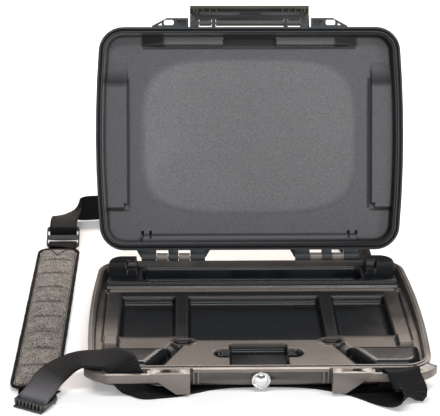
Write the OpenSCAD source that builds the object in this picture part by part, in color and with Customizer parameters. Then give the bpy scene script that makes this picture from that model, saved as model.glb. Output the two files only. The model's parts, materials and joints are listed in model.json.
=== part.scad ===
/* [Shell] */
// Width over the widest part of the bowed sides
case_w = 398; // [360:1:440]
// Depth of the shell, front wall to rear wall
case_d = 288; // [260:1:320]
// How far each side bows out at its middle
side_bow = 4.3; // [2:0.1:6]
// Radius of the shell's corners seen from above
corner_r = 32; // [26:1:38]
// Height of the base rim above the ground
base_h = 30; // [28:0.5:34]
// Height of the closed lid above its own rim
lid_h = 30; // [28:0.5:34]
// Thickness of the shell's walls
wall = 3.2; // [2.5:0.1:3.6]
// Width of the flat rim on both halves
rim_w = 7; // [6.5:0.1:8]
// Height of the slightly proud band along both rims
band_h = 3.5; // [3:0.1:4]
// Radius of the rounded edges at the base's bottom and the lid's top
edge_r = 12; // [9:0.5:14]
// Angle from closed to fully open
lid_open_angle = 109.5; // [95:0.5:112]

/* [Seal] */
// Height of the tongue on the base rim
tongue_h = 1.4; // [1:0.1:1.6]
// Width of that tongue
tongue_w = 1.8; // [1.4:0.1:2.2]
// Depth of the groove in the lid rim
groove_h = 4.2; // [3.8:0.1:4.6]
// Thickness of the round seal in the groove
seal_d = 2.2; // [1.8:0.1:2.3]

/* [Hinges] */
// Distance from the middle to the centre of each hinge
hinge_x = 99.6; // [90:0.1:104]
// Distance of the hinge axis behind the rear wall
hinge_out = 9.6; // [9:0.1:11]
// Radius of the knuckles
knuckle_r = 6; // [5:0.1:6.5]
// Width of each outer knuckle, on the lid
outer_knuckle_w = 19; // [16:0.5:20]
// Width of the middle knuckle, on the lid
middle_knuckle_w = 13; // [11:0.5:15]
// Width of each base knuckle
base_knuckle_w = 14.6; // [12:0.2:16]
// Diameter of the hinge pins
hinge_pin_d = 4; // [3:0.1:5]

/* [Latch] */
// Half the width of the latch lever
latch_half_w = 77; // [74:0.5:78]
// Diameter of the pin that the jaw turns on
latch_pin_d = 3.2; // [2.6:0.1:3.6]
// Diameter of the pin that the lever turns on
lever_pin_d = 2.4; // [2:0.1:2.6]
// Distance of the latch pin in front of the front wall
latch_pin_out = 5.5; // [5:0.1:6]
// Height of the latch pin above the base rim
latch_pin_up = 6; // [5.5:0.1:6.5]
// Reach of the lever from the latch pin to its tip
latch_reach = 22.5; // [21:0.5:24]
// Thickness of the lever's plate
lever_t = 2.2; // [1.8:0.1:2.6]

/* [Brackets] */
// Distance from the middle to the inner side of each bracket
bracket_in = 79.5; // [79:0.1:82]
// Distance from the middle to the outer side of each bracket
bracket_out = 124; // [120:0.5:126]
// How far the brackets stand out from the front wall
bracket_proud = 13; // [12:0.1:14]
// Height of the strap bars
bar_h = 10; // [8:0.5:11]
// Thickness of the strap bars
bar_t = 4.5; // [4:0.1:5.5]
// Distance of each strap slot's outer end from the side of the case
slot_side = 21; // [19:0.5:25]
// Length of the padlock eye in each bracket
eye_l = 12.5; // [10:0.5:14]
// Width of the padlock eyes
eye_w = 6; // [5:0.1:6.4]
// Distance from the middle to the centre of the padlock eyes
eye_x = 106.5; // [105:0.1:108]

/* [Liners] */
// Height of the tray's shelf above the ground
shelf_z = 19.5; // [18:0.5:21]
// Height of the pocket floors above the ground
pocket_z = 8.5; // [8.2:0.1:10]
// Height of the rear ledge above the ground
ledge_z = 28; // [26:0.5:29]
// Height of the rear corner towers above the ground
tower_z = 43.5; // [38:0.5:44]
// Height of the front corner bumpers above the ground
bumper_z = 29; // [26:0.5:29.5]
// Depth of the lid liner's face below the lid rim
liner_depth = 16.5; // [15:0.5:17]
// How far the pads and ridges stand up from that face
pad_rise = 6; // [4:0.5:8]
// Depth of the hollow in the lid liner
dish_depth = 3.6; // [2:0.1:4]
// Thickness of the thin walls of the liners
liner_t = 2.2; // [1.8:0.1:2.6]

/* [Valve] */
// Diameter of the valve's beaded ring
valve_d = 21; // [19:0.5:23]
// Diameter of its threaded stem
valve_stem_d = 12; // [10:0.5:13]
// Height of the valve's centre above the ground
valve_z = 15; // [14.5:0.1:16]
// How far the ring stands out
valve_proud = 3.2; // [2.6:0.1:3.6]

/* [Strap] */
// Width of the webbing
webbing_w = 38; // [30:0.5:40]
// Thickness of the webbing
webbing_t = 1.6; // [1.2:0.1:1.7]
// Width of the shoulder pad
pad_w = 57; // [50:0.5:62]
// Length of the shoulder pad
pad_l = 380; // [340:1:390]
// Thickness of the pad in its middle
pad_t = 11; // [9:0.5:13]
// Diameter of the bound edge round the pad
binding_d = 4; // [3:0.1:4.6]

/* [Hidden] */
$fn = 40;

// Small gaps: between the closed rims, beside moving parts, round liners and round turning pins
rim_gap = 0.3;
side_gap = 0.5;
liner_gap = 0.6;
pin_gap = 0.05;

// Heights and places that follow from the sizes above
underside_z = 3;
lid_rim_z = base_h + rim_gap;
lid_top_z = lid_rim_z + lid_h;
front_y = -case_d / 2;
rear_y = case_d / 2;
hinge_y = rear_y + hinge_out;
hinge_z = base_h;
latch_y = front_y - latch_pin_out;
latch_z = base_h + latch_pin_up;
tongue_inset = 3;
groove_play = 0.5;
hinge_w = 2 * (outer_knuckle_w + base_knuckle_w) + middle_knuckle_w + 4 * side_gap;
corner_steps = 8;
side_steps = 6;

// Points of the shell's outline, moved in by inset: round corners, bowed sides
function outline(inset) =
    let (hw = case_w / 2 - side_bow - inset, hd = case_d / 2 - inset,
         r = max(corner_r - inset, 8), cx = hw - r, cy = hd - r)
    concat(
        [for (i = [0:corner_steps]) let (a = -90 + 90 * i / corner_steps)
            [cx + r * cos(a), -cy + r * sin(a)]],
        [for (i = [1:side_steps - 1]) let (y = cy * (2 * i / side_steps - 1))
            [hw + side_bow * (1 - pow(y / cy, 2)), y]],
        [for (i = [0:corner_steps]) let (a = 90 * i / corner_steps)
            [cx + r * cos(a), cy + r * sin(a)]],
        [for (i = [0:corner_steps]) let (a = 90 + 90 * i / corner_steps)
            [-cx + r * cos(a), cy + r * sin(a)]],
        [for (i = [1:side_steps - 1]) let (y = cy * (1 - 2 * i / side_steps))
            [-hw - side_bow * (1 - pow(y / cy, 2)), y]],
        [for (i = [0:corner_steps]) let (a = 180 + 90 * i / corner_steps)
            [-cx + r * cos(a), -cy + r * sin(a)]]);

function at_z(points, z) = [for (p = points) [p[0], p[1], z]];
function level(inset, z) = at_z(outline(inset), z);

// Points of a box with round corners, from low corner to high corner
function round_box(x0, y0, x1, y1, r, steps = 4) =
    [for (c = [[x1 - r, y0 + r, -90], [x1 - r, y1 - r, 0], [x0 + r, y1 - r, 90], [x0 + r, y0 + r, 180]])
        for (i = [0:steps]) let (a = c[2] + 90 * i / steps) [c[0] + r * cos(a), c[1] + r * sin(a)]];

function mean(points) = [for (k = [0:1]) [for (p = points) p[k]] * [for (p = points) 1] / len(points)];
function shrink(points, keep) = let (m = mean(points)) [for (p = points) m + (p - m) * keep];

// A closed solid through rings of points that all run the same way round
module loft(rings) {
    n = len(rings[0]);
    m = len(rings);
    polyhedron(
        points = [for (r = rings) each r],
        faces = concat(
            [[for (i = [0:n - 1]) i]],
            [for (k = [0:m - 2]) for (i = [0:n - 1])
                let (a = k * n + i, b = k * n + (i + 1) % n) each [[a, a + n, b + n], [a, b + n, b]]],
            [[for (i = [n - 1:-1:0]) (m - 1) * n + i]]));
}

// A closed hoop of round section that follows the outline
module hoop(inset, z, r, sides = 8) {
    rings = [for (k = [0:sides - 1]) level(inset - r * cos(360 * k / sides), z + r * sin(360 * k / sides))];
    n = len(rings[0]);
    polyhedron(
        points = [for (r = rings) each r],
        faces = [for (k = [0:sides - 1]) for (i = [0:n - 1])
            let (a = k * n + i, b = k * n + (i + 1) % n,
                 d = ((k + 1) % sides) * n + i, c = ((k + 1) % sides) * n + (i + 1) % n)
            each [[a, d, c], [a, c, b]]]);
}

module prism(points, z0, z1) {
    translate([0, 0, z0]) linear_extrude(z1 - z0) polygon(points);
}

// A frame-shaped wall that follows the outline
module rim_wall(inset, width, z0, z1) {
    difference() {
        prism(outline(inset), z0, z1);
        prism(outline(inset + width), z0 - 1, z1 + 1);
    }
}

// The valve's axis runs out of the front wall
module on_valve_axis(y) { translate([0, y, valve_z]) rotate([90, 0, 0]) children(); }

module both_sides() {
    children();
    mirror([1, 0, 0]) children();
}

// A bar along X, as a round rod
module rod_x(x0, x1, y, z, d) {
    translate([x0, y, z]) rotate([0, 90, 0]) cylinder(h = x1 - x0, d = d);
}

// A profile drawn in Y and Z, carried along X
module along_x(x0, x1, points) {
    translate([x0, 0, 0]) rotate([90, 0, 90]) linear_extrude(x1 - x0) polygon(points);
}

// A profile drawn in X and Z, carried along Y
module along_y(y0, y1, points) {
    translate([0, y1, 0]) rotate([90, 0, 0]) linear_extrude(y1 - y0) polygon(points);
}

module block(low, high) {
    translate(low) cube(high - low);
}

// A half shell's outer form: flat face at z_flat, rim at z_rim, rounded edge between
function half_shell(z_flat, z_rim, thick) =
    let (up = z_rim > z_flat ? 1 : -1, r = edge_r - thick, draft = 1)
    concat(
        [for (a = [0:22.5:90]) level(thick + draft + r * (1 - sin(a)), z_flat + up * r * (1 - cos(a)))],
        [level(thick + draft * 0.6, z_rim - up * band_h)]);

function flip(rings) = [for (i = [len(rings) - 1:-1:0]) rings[i]];

// Base shell
cavity_inset = rim_w;
floor_z = underside_z + wall;
panel_x = 122;
panel_front_y = -88;
panel_rear_y = 130;
bar_top = base_h - 1.5;
bar_z = bar_top - bar_h;
bar_shift = 4;
slot_out = case_w / 2 - slot_side;
bracket_y = front_y - bracket_proud;
eye_y = front_y - 5.8;
gusset_x = 95;
gusset_top = 19.3;
gusset_side = 115;
catch_out = 3.5;
catch_half_w = latch_half_w - 1;
catch_ribs = [latch_half_w - 7.5, latch_half_w - 2.5];
valve_seat_y = front_y + 1.2;
nut_seat_y = front_y + cavity_inset + 1;
nut_t = 2.6;

module base_tub() {
    difference() {
        union() {
            loft(half_shell(underside_z, base_h, 0));
            prism(outline(0), base_h - band_h, base_h);
            prism(round_box(-panel_x, panel_front_y, panel_x, panel_rear_y, 14), 0, floor_z);
        }
        loft([level(cavity_inset + edge_r * 0.62, floor_z),
              level(cavity_inset + 3.2, floor_z + 3.2),
              level(cavity_inset + 1, floor_z + 9),
              level(cavity_inset, base_h + 1)]);
    }
    rim_wall(tongue_inset, tongue_w, base_h - 1, base_h + tongue_h);
}

// Bracket with its padlock eye, and the bar that the strap goes behind
module bracket() {
    difference() {
        union() {
            along_y(bracket_y, front_y + 2, [
                [bracket_in, underside_z + 1], [gusset_x, underside_z + 1], [gusset_side, gusset_top],
                [bracket_out, gusset_top], [bracket_out, base_h - 0.2], [bracket_in, base_h - 0.2]]);
            strap_bar();
        }
        prism(round_box(eye_x - eye_l / 2, eye_y - eye_w / 2, eye_x + eye_l / 2, eye_y + eye_w / 2,
            eye_w / 2 - 0.1), 0, base_h + 1);
    }
}

module strap_bar() {
    sweep_r = corner_r + bracket_proud;
    cx = case_w / 2 - side_bow - corner_r;
    cy = -case_d / 2 + corner_r;
    difference() {
        prism(concat(
                [[bracket_out - 6, bracket_y]],
                [for (a = [-90:9:-36])
                    [cx + bar_shift + (sweep_r - bar_shift - 2) * cos(a), cy + sweep_r * sin(a)]],
                [[cx, cy], [bracket_out - 6, front_y + 3]]),
            bar_z, bar_top);
        prism(outline(rim_w / 2), bar_z - 1, bar_top + 1);
        prism([[bracket_out + 3, bracket_y + bar_t], [slot_out - 8, bracket_y + bar_t],
               [slot_out, bracket_y + bar_t + 3], [slot_out, front_y + 14], [bracket_out + 3, front_y + 14]],
            bar_z - 1, bar_top + 1);
    }
}

// The ledge under which the latch hooks, with the guide ribs at its ends
module latch_catch() {
    block([-catch_half_w, front_y - catch_out, base_h - band_h], [catch_half_w, front_y + 2, base_h]);
    both_sides() for (x = catch_ribs)
        block([x, front_y - catch_out, 12], [x + 1.6, front_y + 2, base_h - band_h + 0.5]);
}

function knuckle_starts() = [
    outer_knuckle_w + side_gap,
    outer_knuckle_w + base_knuckle_w + middle_knuckle_w + 3 * side_gap];

// Base half of one hinge: two knuckles on a tapered foot
module base_hinge() {
    low = base_h - 15;
    for (s = knuckle_starts()) let (x0 = hinge_x - hinge_w / 2 + s) {
        rod_x(x0, x0 + base_knuckle_w, hinge_y, hinge_z, 2 * knuckle_r);
        along_x(x0, x0 + base_knuckle_w, [[rear_y - 2, low], [rear_y + 2, low],
            [hinge_y + knuckle_r * 0.7, hinge_z - knuckle_r * 0.7], [hinge_y, hinge_z],
            [rear_y - 2, base_h - 6]]);
    }
    difference() {
        along_y(rear_y - 2, rear_y + 4.5, [
            [hinge_x - hinge_w / 2 + 8, low], [hinge_x + hinge_w / 2 - 8, low],
            [hinge_x + hinge_w / 2 - 2, base_h - 8], [hinge_x - hinge_w / 2 + 2, base_h - 8]]);
        along_x(hinge_x - hinge_w / 2, hinge_x + hinge_w / 2,
            [[rear_y + 2.5, base_h - 8], [rear_y + 5, base_h - 13], [rear_y + 5, base_h - 7]]);
    }
}

module base_shell() {
    color("#4b4b4a") difference() {
        union() {
            base_tub();
            both_sides() {
                bracket();
                base_hinge();
            }
            latch_catch();
        }
        both_sides()
            rod_x(hinge_x - hinge_w / 2 - 1, hinge_x + hinge_w / 2 + 1, hinge_y, hinge_z, hinge_pin_d);
        on_valve_axis(front_y + 12) cylinder(h = 20, d = valve_stem_d + 0.4);
        on_valve_axis(valve_seat_y) cylinder(h = 8, d = valve_d + 1);
        on_valve_axis(nut_seat_y + 12) cylinder(h = 12, d = 21);
    }
}

// Base tray
tray_inset = cavity_inset + 1.4;
raised_inset = cavity_inset + 5;
tray_x = case_w / 2 - side_bow - raised_inset;
tray_y = case_d / 2 - raised_inset;
pocket_rear_y = 62;
pocket_front_y = -46;
middle_front_y = -57;
pocket_out_x = 163;
pocket_in_x = 96;
middle_pocket_x = 81.5;
ledge_y = 82;
trough_x = 140;
trough_front_y = 90;
trough_rear_y = 129;
slot_line_x = 181;
slot_line_front_y = -59;
slot_line_rear_y = 71;
tower_x = 144;
tower_front_y = 104;
recess_x = 34;
recess_front_y = -117;
recess_rear_y = -66;
oval_x = 87;
oval_y = -61;
oval_l = 23;
oval_w = 13;
end_block_z = 26;
end_block_in_x = 161;
end_block_out_x = 181;
end_block_front_y = -78;
end_block_rear_y = -53;

module pocket(x0, y0, x1, y1, z0, z1, r, draft) {
    loft([at_z(round_box(x0 + draft, y0 + draft, x1 - draft, y1 - draft, max(r - draft, 1)), z0),
          at_z(round_box(x0, y0, x1, y1, r), z1)]);
}

module capsule(x, y, l, w, z0, z1) {
    translate([x, y, z0]) linear_extrude(z1 - z0) {
        square([l - w, w], center = true);
        for (s = [-1, 1]) translate([s * (l - w) / 2, 0]) circle(d = w);
    }
}

// Outline points of the tray in one corner, with the inner side closed by the given points
function corner_patch(inset, x_min, y_min, closing) =
    concat([for (p = outline(inset)) if (p[0] > x_min && p[1] > y_min) p], closing);

module tower() {
    patch = corner_patch(raised_inset, tower_x, tower_front_y, [[tower_x, tray_y], [tower_x, tower_front_y]]);
    points = concat([[tray_x + side_bow * 0.35, tower_front_y]], patch);
    difference() {
        loft([at_z(points, shelf_z - 2), at_z(points, tower_z - 3), at_z(shrink(points, 0.97), tower_z - 0.8),
              at_z(shrink(points, 0.9), tower_z)]);
        block([tower_x - 1, tower_front_y - 1, tower_z - 8], [tower_x + 15, tower_front_y + 13, tower_z + 1]);
    }
}

module bumper() {
    patch = flip([for (p = corner_patch(raised_inset, 113, 86, [])) [p[0], -p[1]]]);
    points = concat([[113, -tray_y]], patch,
        [[tray_x + side_bow * 0.3, -88], [150, -88], [138, -90], [128, -97], [121, -106], [114, -118]]);
    loft([at_z(points, shelf_z - 2), at_z(points, bumper_z - 4), at_z(shrink(points, 0.97), bumper_z - 1.6),
          at_z(shrink(points, 0.91), bumper_z - 0.4), at_z(shrink(points, 0.8), bumper_z)]);
}

module end_block() {
    function ring(inward) = round_box(end_block_in_x + inward, end_block_front_y + inward,
        end_block_out_x - inward, end_block_rear_y - inward, 4);
    loft([at_z(ring(0), shelf_z - 1), at_z(ring(1.2), end_block_z - 0.6), at_z(ring(2), end_block_z)]);
}

module tray_solid() {
    loft([level(tray_inset + 8, floor_z), level(tray_inset + 2, floor_z + 6), level(tray_inset, shelf_z)]);
    intersection() {
        prism(outline(raised_inset - 2), shelf_z - 1, ledge_z);
        along_x(-case_w / 2, case_w / 2, [[ledge_y + 1.5, shelf_z - 1], [tray_y + 1, shelf_z - 1],
            [tray_y + 1, ledge_z], [ledge_y + 8, ledge_z],
            [ledge_y + 6.6, ledge_z - 0.6], [ledge_y + 6, ledge_z - 2],
            [ledge_y + 5, shelf_z + 3], [ledge_y + 3.4, shelf_z + 1.2]]);
    }
    both_sides() {
        tower();
        bumper();
        end_block();
    }
}

// The spaces sunk into the tray; grow widens them, which leaves their walls when the tray is hollowed
module side_pocket(grow) {
    difference() {
        pocket(pocket_in_x - grow, pocket_front_y - grow, pocket_out_x + grow, pocket_rear_y + grow,
            pocket_z - grow, shelf_z + 2, 5 + grow, 2.5);
        capsule(oval_x, oval_y, oval_l + 12 - 2 * grow, oval_w + 12 - 2 * grow, 0, shelf_z + 1);
    }
}

module middle_pocket(grow) {
    difference() {
        pocket(-middle_pocket_x - grow, middle_front_y - grow, middle_pocket_x + grow, pocket_rear_y + grow,
            pocket_z - grow, shelf_z + 2, 5 + grow, 2.5);
        both_sides() capsule(oval_x, oval_y, oval_l + 12 - 2 * grow, oval_w + 12 - 2 * grow, 0, shelf_z + 1);
    }
}

module front_spaces(grow) {
    pocket(-recess_x - grow, recess_front_y - grow, recess_x + grow, recess_rear_y + grow,
        pocket_z + 1 - grow, shelf_z + 2, 3 + grow, 1);
    both_sides() {
        capsule(recess_x, (recess_front_y + recess_rear_y) / 2 + 3, 36 + 2 * grow, 22 + 2 * grow,
            shelf_z - 8 - grow, shelf_z + 2);
        capsule(oval_x, oval_y, oval_l + 2 * grow, oval_w + 2 * grow, shelf_z - 9 - grow, shelf_z + 2);
    }
}

// Everything under the tray's skin, apart from the walls of the spaces above
module tray_hollow() {
    difference() {
        intersection() {
            union() {
                prism(outline(tray_inset + 2 + liner_t), floor_z + 6, shelf_z - liner_t);
                prism(outline(tray_inset + 8 + liner_t), floor_z - 1, floor_z + 7);
            }
            block([-case_w, -tray_y + 4, 0], [case_w, ledge_y - 12, shelf_z]);
        }
        middle_pocket(liner_t);
        front_spaces(liner_t);
        both_sides() side_pocket(liner_t);
        block([-12, -case_d, 0], [12, case_d, shelf_z]);
    }
}

module base_liner() {
    color("#15171a") difference() {
        tray_solid();
        middle_pocket(0);
        front_spaces(0);
        both_sides() {
            side_pocket(0);
            hull() {
                translate([oval_x + 5, oval_y - 2, shelf_z - 2.2]) cylinder(h = 8, d = 15, $fn = 16);
                translate([118, -tray_y + 14, shelf_z - 2.2]) cylinder(h = 8, d = 15, $fn = 16);
            }
            block([slot_line_x, slot_line_front_y, shelf_z - 1.6],
                [slot_line_x + 2, slot_line_rear_y, shelf_z + 1]);
        }
        pocket(-trough_x, trough_front_y, trough_x, trough_rear_y, pocket_z + 2, ledge_z + 1, 8, 3);
        tray_hollow();
        block([-12, -case_d / 2, 0], [12, nut_seat_y + nut_t + 3, shelf_z + 1]);
    }
}

// Hinge pins, a press fit in the base knuckles and free in the lid's
module hinge_pin() {
    rod_x(hinge_x - hinge_w / 2 + 0.5, hinge_x + hinge_w / 2 - 0.5, hinge_y, hinge_z, hinge_pin_d);
}

module hinge_pin_left() { color("#8d8f92") mirror([1, 0, 0]) hinge_pin(); }
module hinge_pin_right() { color("#8d8f92") hinge_pin(); }

// Pressure valve in the middle of the front wall
bead_count = 32;
membrane_y = front_y - 0.1;
membrane_t = 0.4;

module valve_body() {
    color("#c9cbcd") difference() {
        union() {
            on_valve_axis(valve_seat_y - 1) cylinder(h = valve_proud - 1, d = valve_d);
            on_valve_axis(front_y + 11.5) cylinder(h = 11.5, d = valve_stem_d);
            on_valve_axis(valve_seat_y - 1) for (i = [0:bead_count - 1]) rotate([0, 0, i * 360 / bead_count])
                translate([valve_d / 2 - 1, 0, 0]) cylinder(h = valve_proud - 0.5, d = 1.3, $fn = 16);
        }
        on_valve_axis(membrane_y) cylinder(h = 8, d = valve_d - 5.4);
        on_valve_axis(front_y + 13) cylinder(h = 15, d = 6);
    }
}

module valve_cap() {
    color("#d9dadb") on_valve_axis(membrane_y - membrane_t) rotate_extrude()
        polygon([[0, 0], [valve_d / 2 - 2.8, 0], [valve_d / 2 - 2.8, 1], [valve_d / 2 - 3.6, 1.7], [0, 2]]);
}

module valve_seal() {
    color("#1b1b1b") on_valve_axis(valve_seat_y) difference() {
        cylinder(h = 1, d = valve_d - 0.6);
        translate([0, 0, -1]) cylinder(h = 3, d = valve_stem_d + 0.3);
    }
}

module valve_nut() {
    color("#b8b9bb") on_valve_axis(nut_seat_y + nut_t) difference() {
        cylinder(h = nut_t, d = 17, $fn = 6);
        translate([0, 0, -1]) cylinder(h = 5, d = valve_stem_d + 0.1);
    }
}

module valve_membrane() {
    color("#f0f0ee") on_valve_axis(membrane_y) cylinder(h = membrane_t, d = valve_d - 5.8);
}

// Lid, drawn closed and turned open about the hinge axis
module opened() {
    translate([0, hinge_y, hinge_z]) rotate([-lid_open_angle, 0, 0])
        translate([0, -hinge_y, -hinge_z]) children();
}

loop_out = 126;
loop_flat = 107;
loop_proud = 11.5;
loop_h = 5;
loop_eye_w = 6.6;
lug_w = 5;
lug_x = [latch_half_w - 33, latch_half_w - 11.5];

module lid_tub() {
    difference() {
        union() {
            loft(flip(half_shell(lid_top_z, lid_rim_z, 0)));
            prism(outline(0), lid_rim_z, lid_rim_z + band_h);
        }
        loft(flip([level(cavity_inset + edge_r * 0.5, lid_top_z - wall),
              level(cavity_inset + 0.4, lid_top_z - wall - 3.5),
              level(cavity_inset, lid_rim_z - 1)]));
        rim_wall(tongue_inset - groove_play, tongue_w + 2 * groove_play, lid_rim_z - 1, lid_rim_z + groove_h);
        rim_wall(edge_r + 14, 3, lid_top_z - 0.9, lid_top_z + 1);
        for (y = [-60, 60]) prism(round_box(-128, y - 3, 128, y + 3, 2.9), lid_top_z - 0.9, lid_top_z + 1);
    }
}

// Padlock and carry loop at the lid's front edge, over the bracket below it
module lid_loop() {
    y0 = front_y - loop_proud;
    difference() {
        prism([[bracket_in - 0.5, front_y + 2], [bracket_in - 0.5, y0], [loop_flat, y0],
               [loop_out, front_y - 1.5], [loop_out, front_y + 2]],
            lid_rim_z, lid_rim_z + loop_h);
        prism(round_box(eye_x - eye_l / 2 - 2.3, eye_y - loop_eye_w / 2,
            eye_x + 4, eye_y + loop_eye_w / 2, 2.4),
            lid_rim_z - 1, lid_rim_z + loop_h + 1);
        prism([[eye_x + 7, front_y - 2.2], [eye_x + 7, front_y - 5.2], [eye_x + 12, front_y - 2.2]],
            lid_rim_z - 1, lid_rim_z + loop_h + 1);
        prism([[bracket_in + 2.5, front_y - 2], [bracket_in + 2.5, y0 + 3], [eye_x - eye_l / 2 - 6, y0 + 3],
               [eye_x - eye_l / 2 - 11, front_y - 2]],
            lid_rim_z - 1, lid_rim_z + loop_h - 2);
    }
}

function lid_knuckles() = [
    [0, outer_knuckle_w],
    [outer_knuckle_w + base_knuckle_w + 2 * side_gap, middle_knuckle_w],
    [hinge_w - outer_knuckle_w, outer_knuckle_w]];

flange_w = 5.5;

module lid_hinge() {
    for (k = lid_knuckles()) let (x0 = hinge_x - hinge_w / 2 + k[0]) {
        rod_x(x0, x0 + k[1], hinge_y, hinge_z, 2 * knuckle_r);
        along_x(x0, x0 + k[1], [[rear_y - 2, lid_rim_z + 0.5], [hinge_y, hinge_z + 0.5],
            [hinge_y + knuckle_r * 0.6, hinge_z + knuckle_r * 0.8], [hinge_y - 1, hinge_z + knuckle_r],
            [rear_y - 2, lid_rim_z + 9]]);
    }
    for (side = [-1, 1]) let (x = hinge_x + side * hinge_w / 2) hull() {
        block([x - 1 + min(side * flange_w, 0), rear_y - 1, lid_rim_z + 1.5],
            [x + 1 + max(side * flange_w, 0), rear_y, lid_rim_z + 8.5]);
        block([x - 1, hinge_y - 1.5, hinge_z + knuckle_r - 2.4], [x + 1, hinge_y, hinge_z + knuckle_r - 0.4]);
    }
}

module latch_lug(x) {
    end = x == lug_x[1] ? latch_half_w : x + lug_w;
    rod_x(x, end, latch_y, latch_z, 8.4);
    along_x(x, end, [[latch_y, latch_z - 4.2], [front_y + 2, latch_z - 4.2],
        [front_y + 2, latch_z + 8], [latch_y, latch_z + 4.2]]);
}

module lid_shell() {
    color("#3f3f3f") opened() difference() {
        union() {
            lid_tub();
            both_sides() {
                lid_loop();
                lid_hinge();
                for (x = lug_x) latch_lug(x);
            }
        }
        both_sides() rod_x(hinge_x - hinge_w / 2 - 1, hinge_x + hinge_w / 2 + 1, hinge_y, hinge_z,
            hinge_pin_d + 2 * pin_gap);
        rod_x(-latch_half_w, latch_half_w, latch_y, latch_z, latch_pin_d);
    }
}

module lid_seal() {
    color("#222222") opened()
        hoop(tongue_inset + tongue_w / 2, lid_rim_z + groove_h - seal_d / 2 - 0.1, seal_d / 2);
}

// Lid liner
face_z = lid_rim_z + liner_depth;
side_pad_x = 160;
pad_rear_y = 91;
pad_front_y = -70;
pad_ramp_y = -97;
ridge_x = 138;
ridge_flat_x = 108;
ridge_y = -120;
low_ridge_x = 141;
low_ridge_y = 125;
dish_x = 140;
dish_front_y = -104;
dish_rear_y = 97;
notch_x = 34;
post_x = 150;
post_y = 100;
post_d = 10;

// Rounded oblong of power 4, for the hollow
function squircle(a, b, cy, steps = 40) =
    [for (i = [0:steps - 1]) let (t = 360 * i / steps, c = cos(t), s = sin(t))
        [a * sign(c) * sqrt(abs(c)), cy + b * sign(s) * sqrt(abs(s))]];

module liner_plate() {
    liner_inset = cavity_inset + liner_gap;
    edge = outline(liner_inset + liner_t);
    rim_wall(liner_inset, liner_t, lid_rim_z + 1.2, face_z + 2);
    prism(outline(liner_inset + 0.3), face_z, face_z + liner_t);
    prism(squircle(dish_x + 4, (dish_rear_y - dish_front_y) / 2 + 4, (dish_front_y + dish_rear_y) / 2),
        face_z, face_z + dish_depth + liner_t);
    both_sides() for (y = [-post_y, post_y])
        translate([post_x, y, face_z + 1]) cylinder(h = lid_top_z - wall - face_z - 1.1, d = post_d);
    intersection() {
        prism(edge, face_z - pad_rise, face_z + 1);
        both_sides() along_x(side_pad_x, case_w / 2, [
            [pad_rear_y, face_z + 1], [pad_rear_y, face_z - pad_rise],
            [pad_front_y, face_z - pad_rise], [pad_ramp_y, face_z], [pad_ramp_y, face_z + 1]]);
    }
    intersection() {
        prism(edge, face_z - pad_rise, face_z + 1);
        along_y(-case_d / 2, ridge_y, [[-ridge_x, face_z], [-ridge_flat_x, face_z - pad_rise],
            [ridge_flat_x, face_z - pad_rise], [ridge_x, face_z],
            [ridge_x, face_z + 1], [-ridge_x, face_z + 1]]);
    }
    intersection() {
        prism(edge, face_z - pad_rise, face_z + 1);
        block([-low_ridge_x, low_ridge_y, face_z - pad_rise], [low_ridge_x, case_d / 2, face_z + 1]);
    }
}

module lid_liner() {
    dish_cy = (dish_front_y + dish_rear_y) / 2;
    dish_b = (dish_rear_y - dish_front_y) / 2;
    color("#4a4c50") opened() difference() {
        liner_plate();
        loft([for (k = [[1.01, -0.2], [0.97, 0.25], [0.9, 0.55], [0.76, 0.83], [0.55, 0.97], [0.3, 1]])
            at_z(squircle(dish_x * k[0], dish_b * k[0], dish_cy), face_z + dish_depth * k[1])]);
        prism([[-notch_x, -122], [-notch_x + 4, -131], [notch_x - 4, -131], [notch_x, -122]],
            face_z - pad_rise - 1, face_z - 1);
    }
}

// Latch: a jaw that hooks under the base's rim, and a lever on the jaw. Drawn closed
ear_gap = 6.1;
lever_y = latch_y - 3.2;
lever_z = latch_z - 6.8;
web_in = latch_y + 1.3;
web_out = latch_y - 1.6;
hook_z = base_h - band_h - 0.35;
hook_h = 3.8;
jaw_half_w = latch_half_w - ear_gap;
lever_ribs = [35, 26.5, 18, 10, 6];
hook_half_w = latch_half_w - 13;
hook_gap = valve_d / 2 + 3;
barrel_r = 4;
rib_r = 2.4;
latch_open_angle = 90;

module latch_opened() {
    opened() translate([0, latch_y, latch_z]) rotate([-latch_open_angle, 0, 0])
        translate([0, -latch_y, -latch_z]) children();
}

module latch_pin() {
    color("#9a9b9d") opened() rod_x(-lug_x[1] - lug_w, lug_x[1] + lug_w, latch_y, latch_z, latch_pin_d);
}

module jaw_barrels() {
    inner = lug_x[0] - side_gap;
    rod_x(-inner, inner, latch_y, latch_z, 2 * barrel_r);
    both_sides() rod_x(lug_x[0] + lug_w + side_gap, lug_x[1] - side_gap, latch_y, latch_z, 2 * barrel_r);
}

module latch_jaw() {
    color("#2b2c2c") latch_opened() difference() {
        union() {
            jaw_barrels();
            difference() {
                block([-jaw_half_w, web_out, hook_z - hook_h], [jaw_half_w, web_in, latch_z]);
                both_sides() for (x = lug_x)
                    block([x - side_gap, web_out - 1, latch_z - 4.8],
                        [x == lug_x[1] ? latch_half_w : x + lug_w + side_gap, web_in + 1, latch_z + 1]);
            }
            both_sides() block([hook_gap, web_out, hook_z - hook_h], [hook_half_w, front_y - 1.1, hook_z]);
            rod_x(-jaw_half_w, jaw_half_w, lever_y, lever_z, 2 * rib_r);
            block([-jaw_half_w, lever_y, lever_z - rib_r], [jaw_half_w, web_in, lever_z + 1]);
        }
        rod_x(-latch_half_w, latch_half_w, latch_y, latch_z, latch_pin_d + 2 * pin_gap);
        rod_x(-latch_half_w, latch_half_w, lever_y, lever_z, lever_pin_d);
    }
}

module lever_pin() {
    color("#9a9b9d") latch_opened()
        rod_x(-latch_half_w + 0.5, latch_half_w - 0.5, lever_y, lever_z, lever_pin_d);
}

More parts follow.
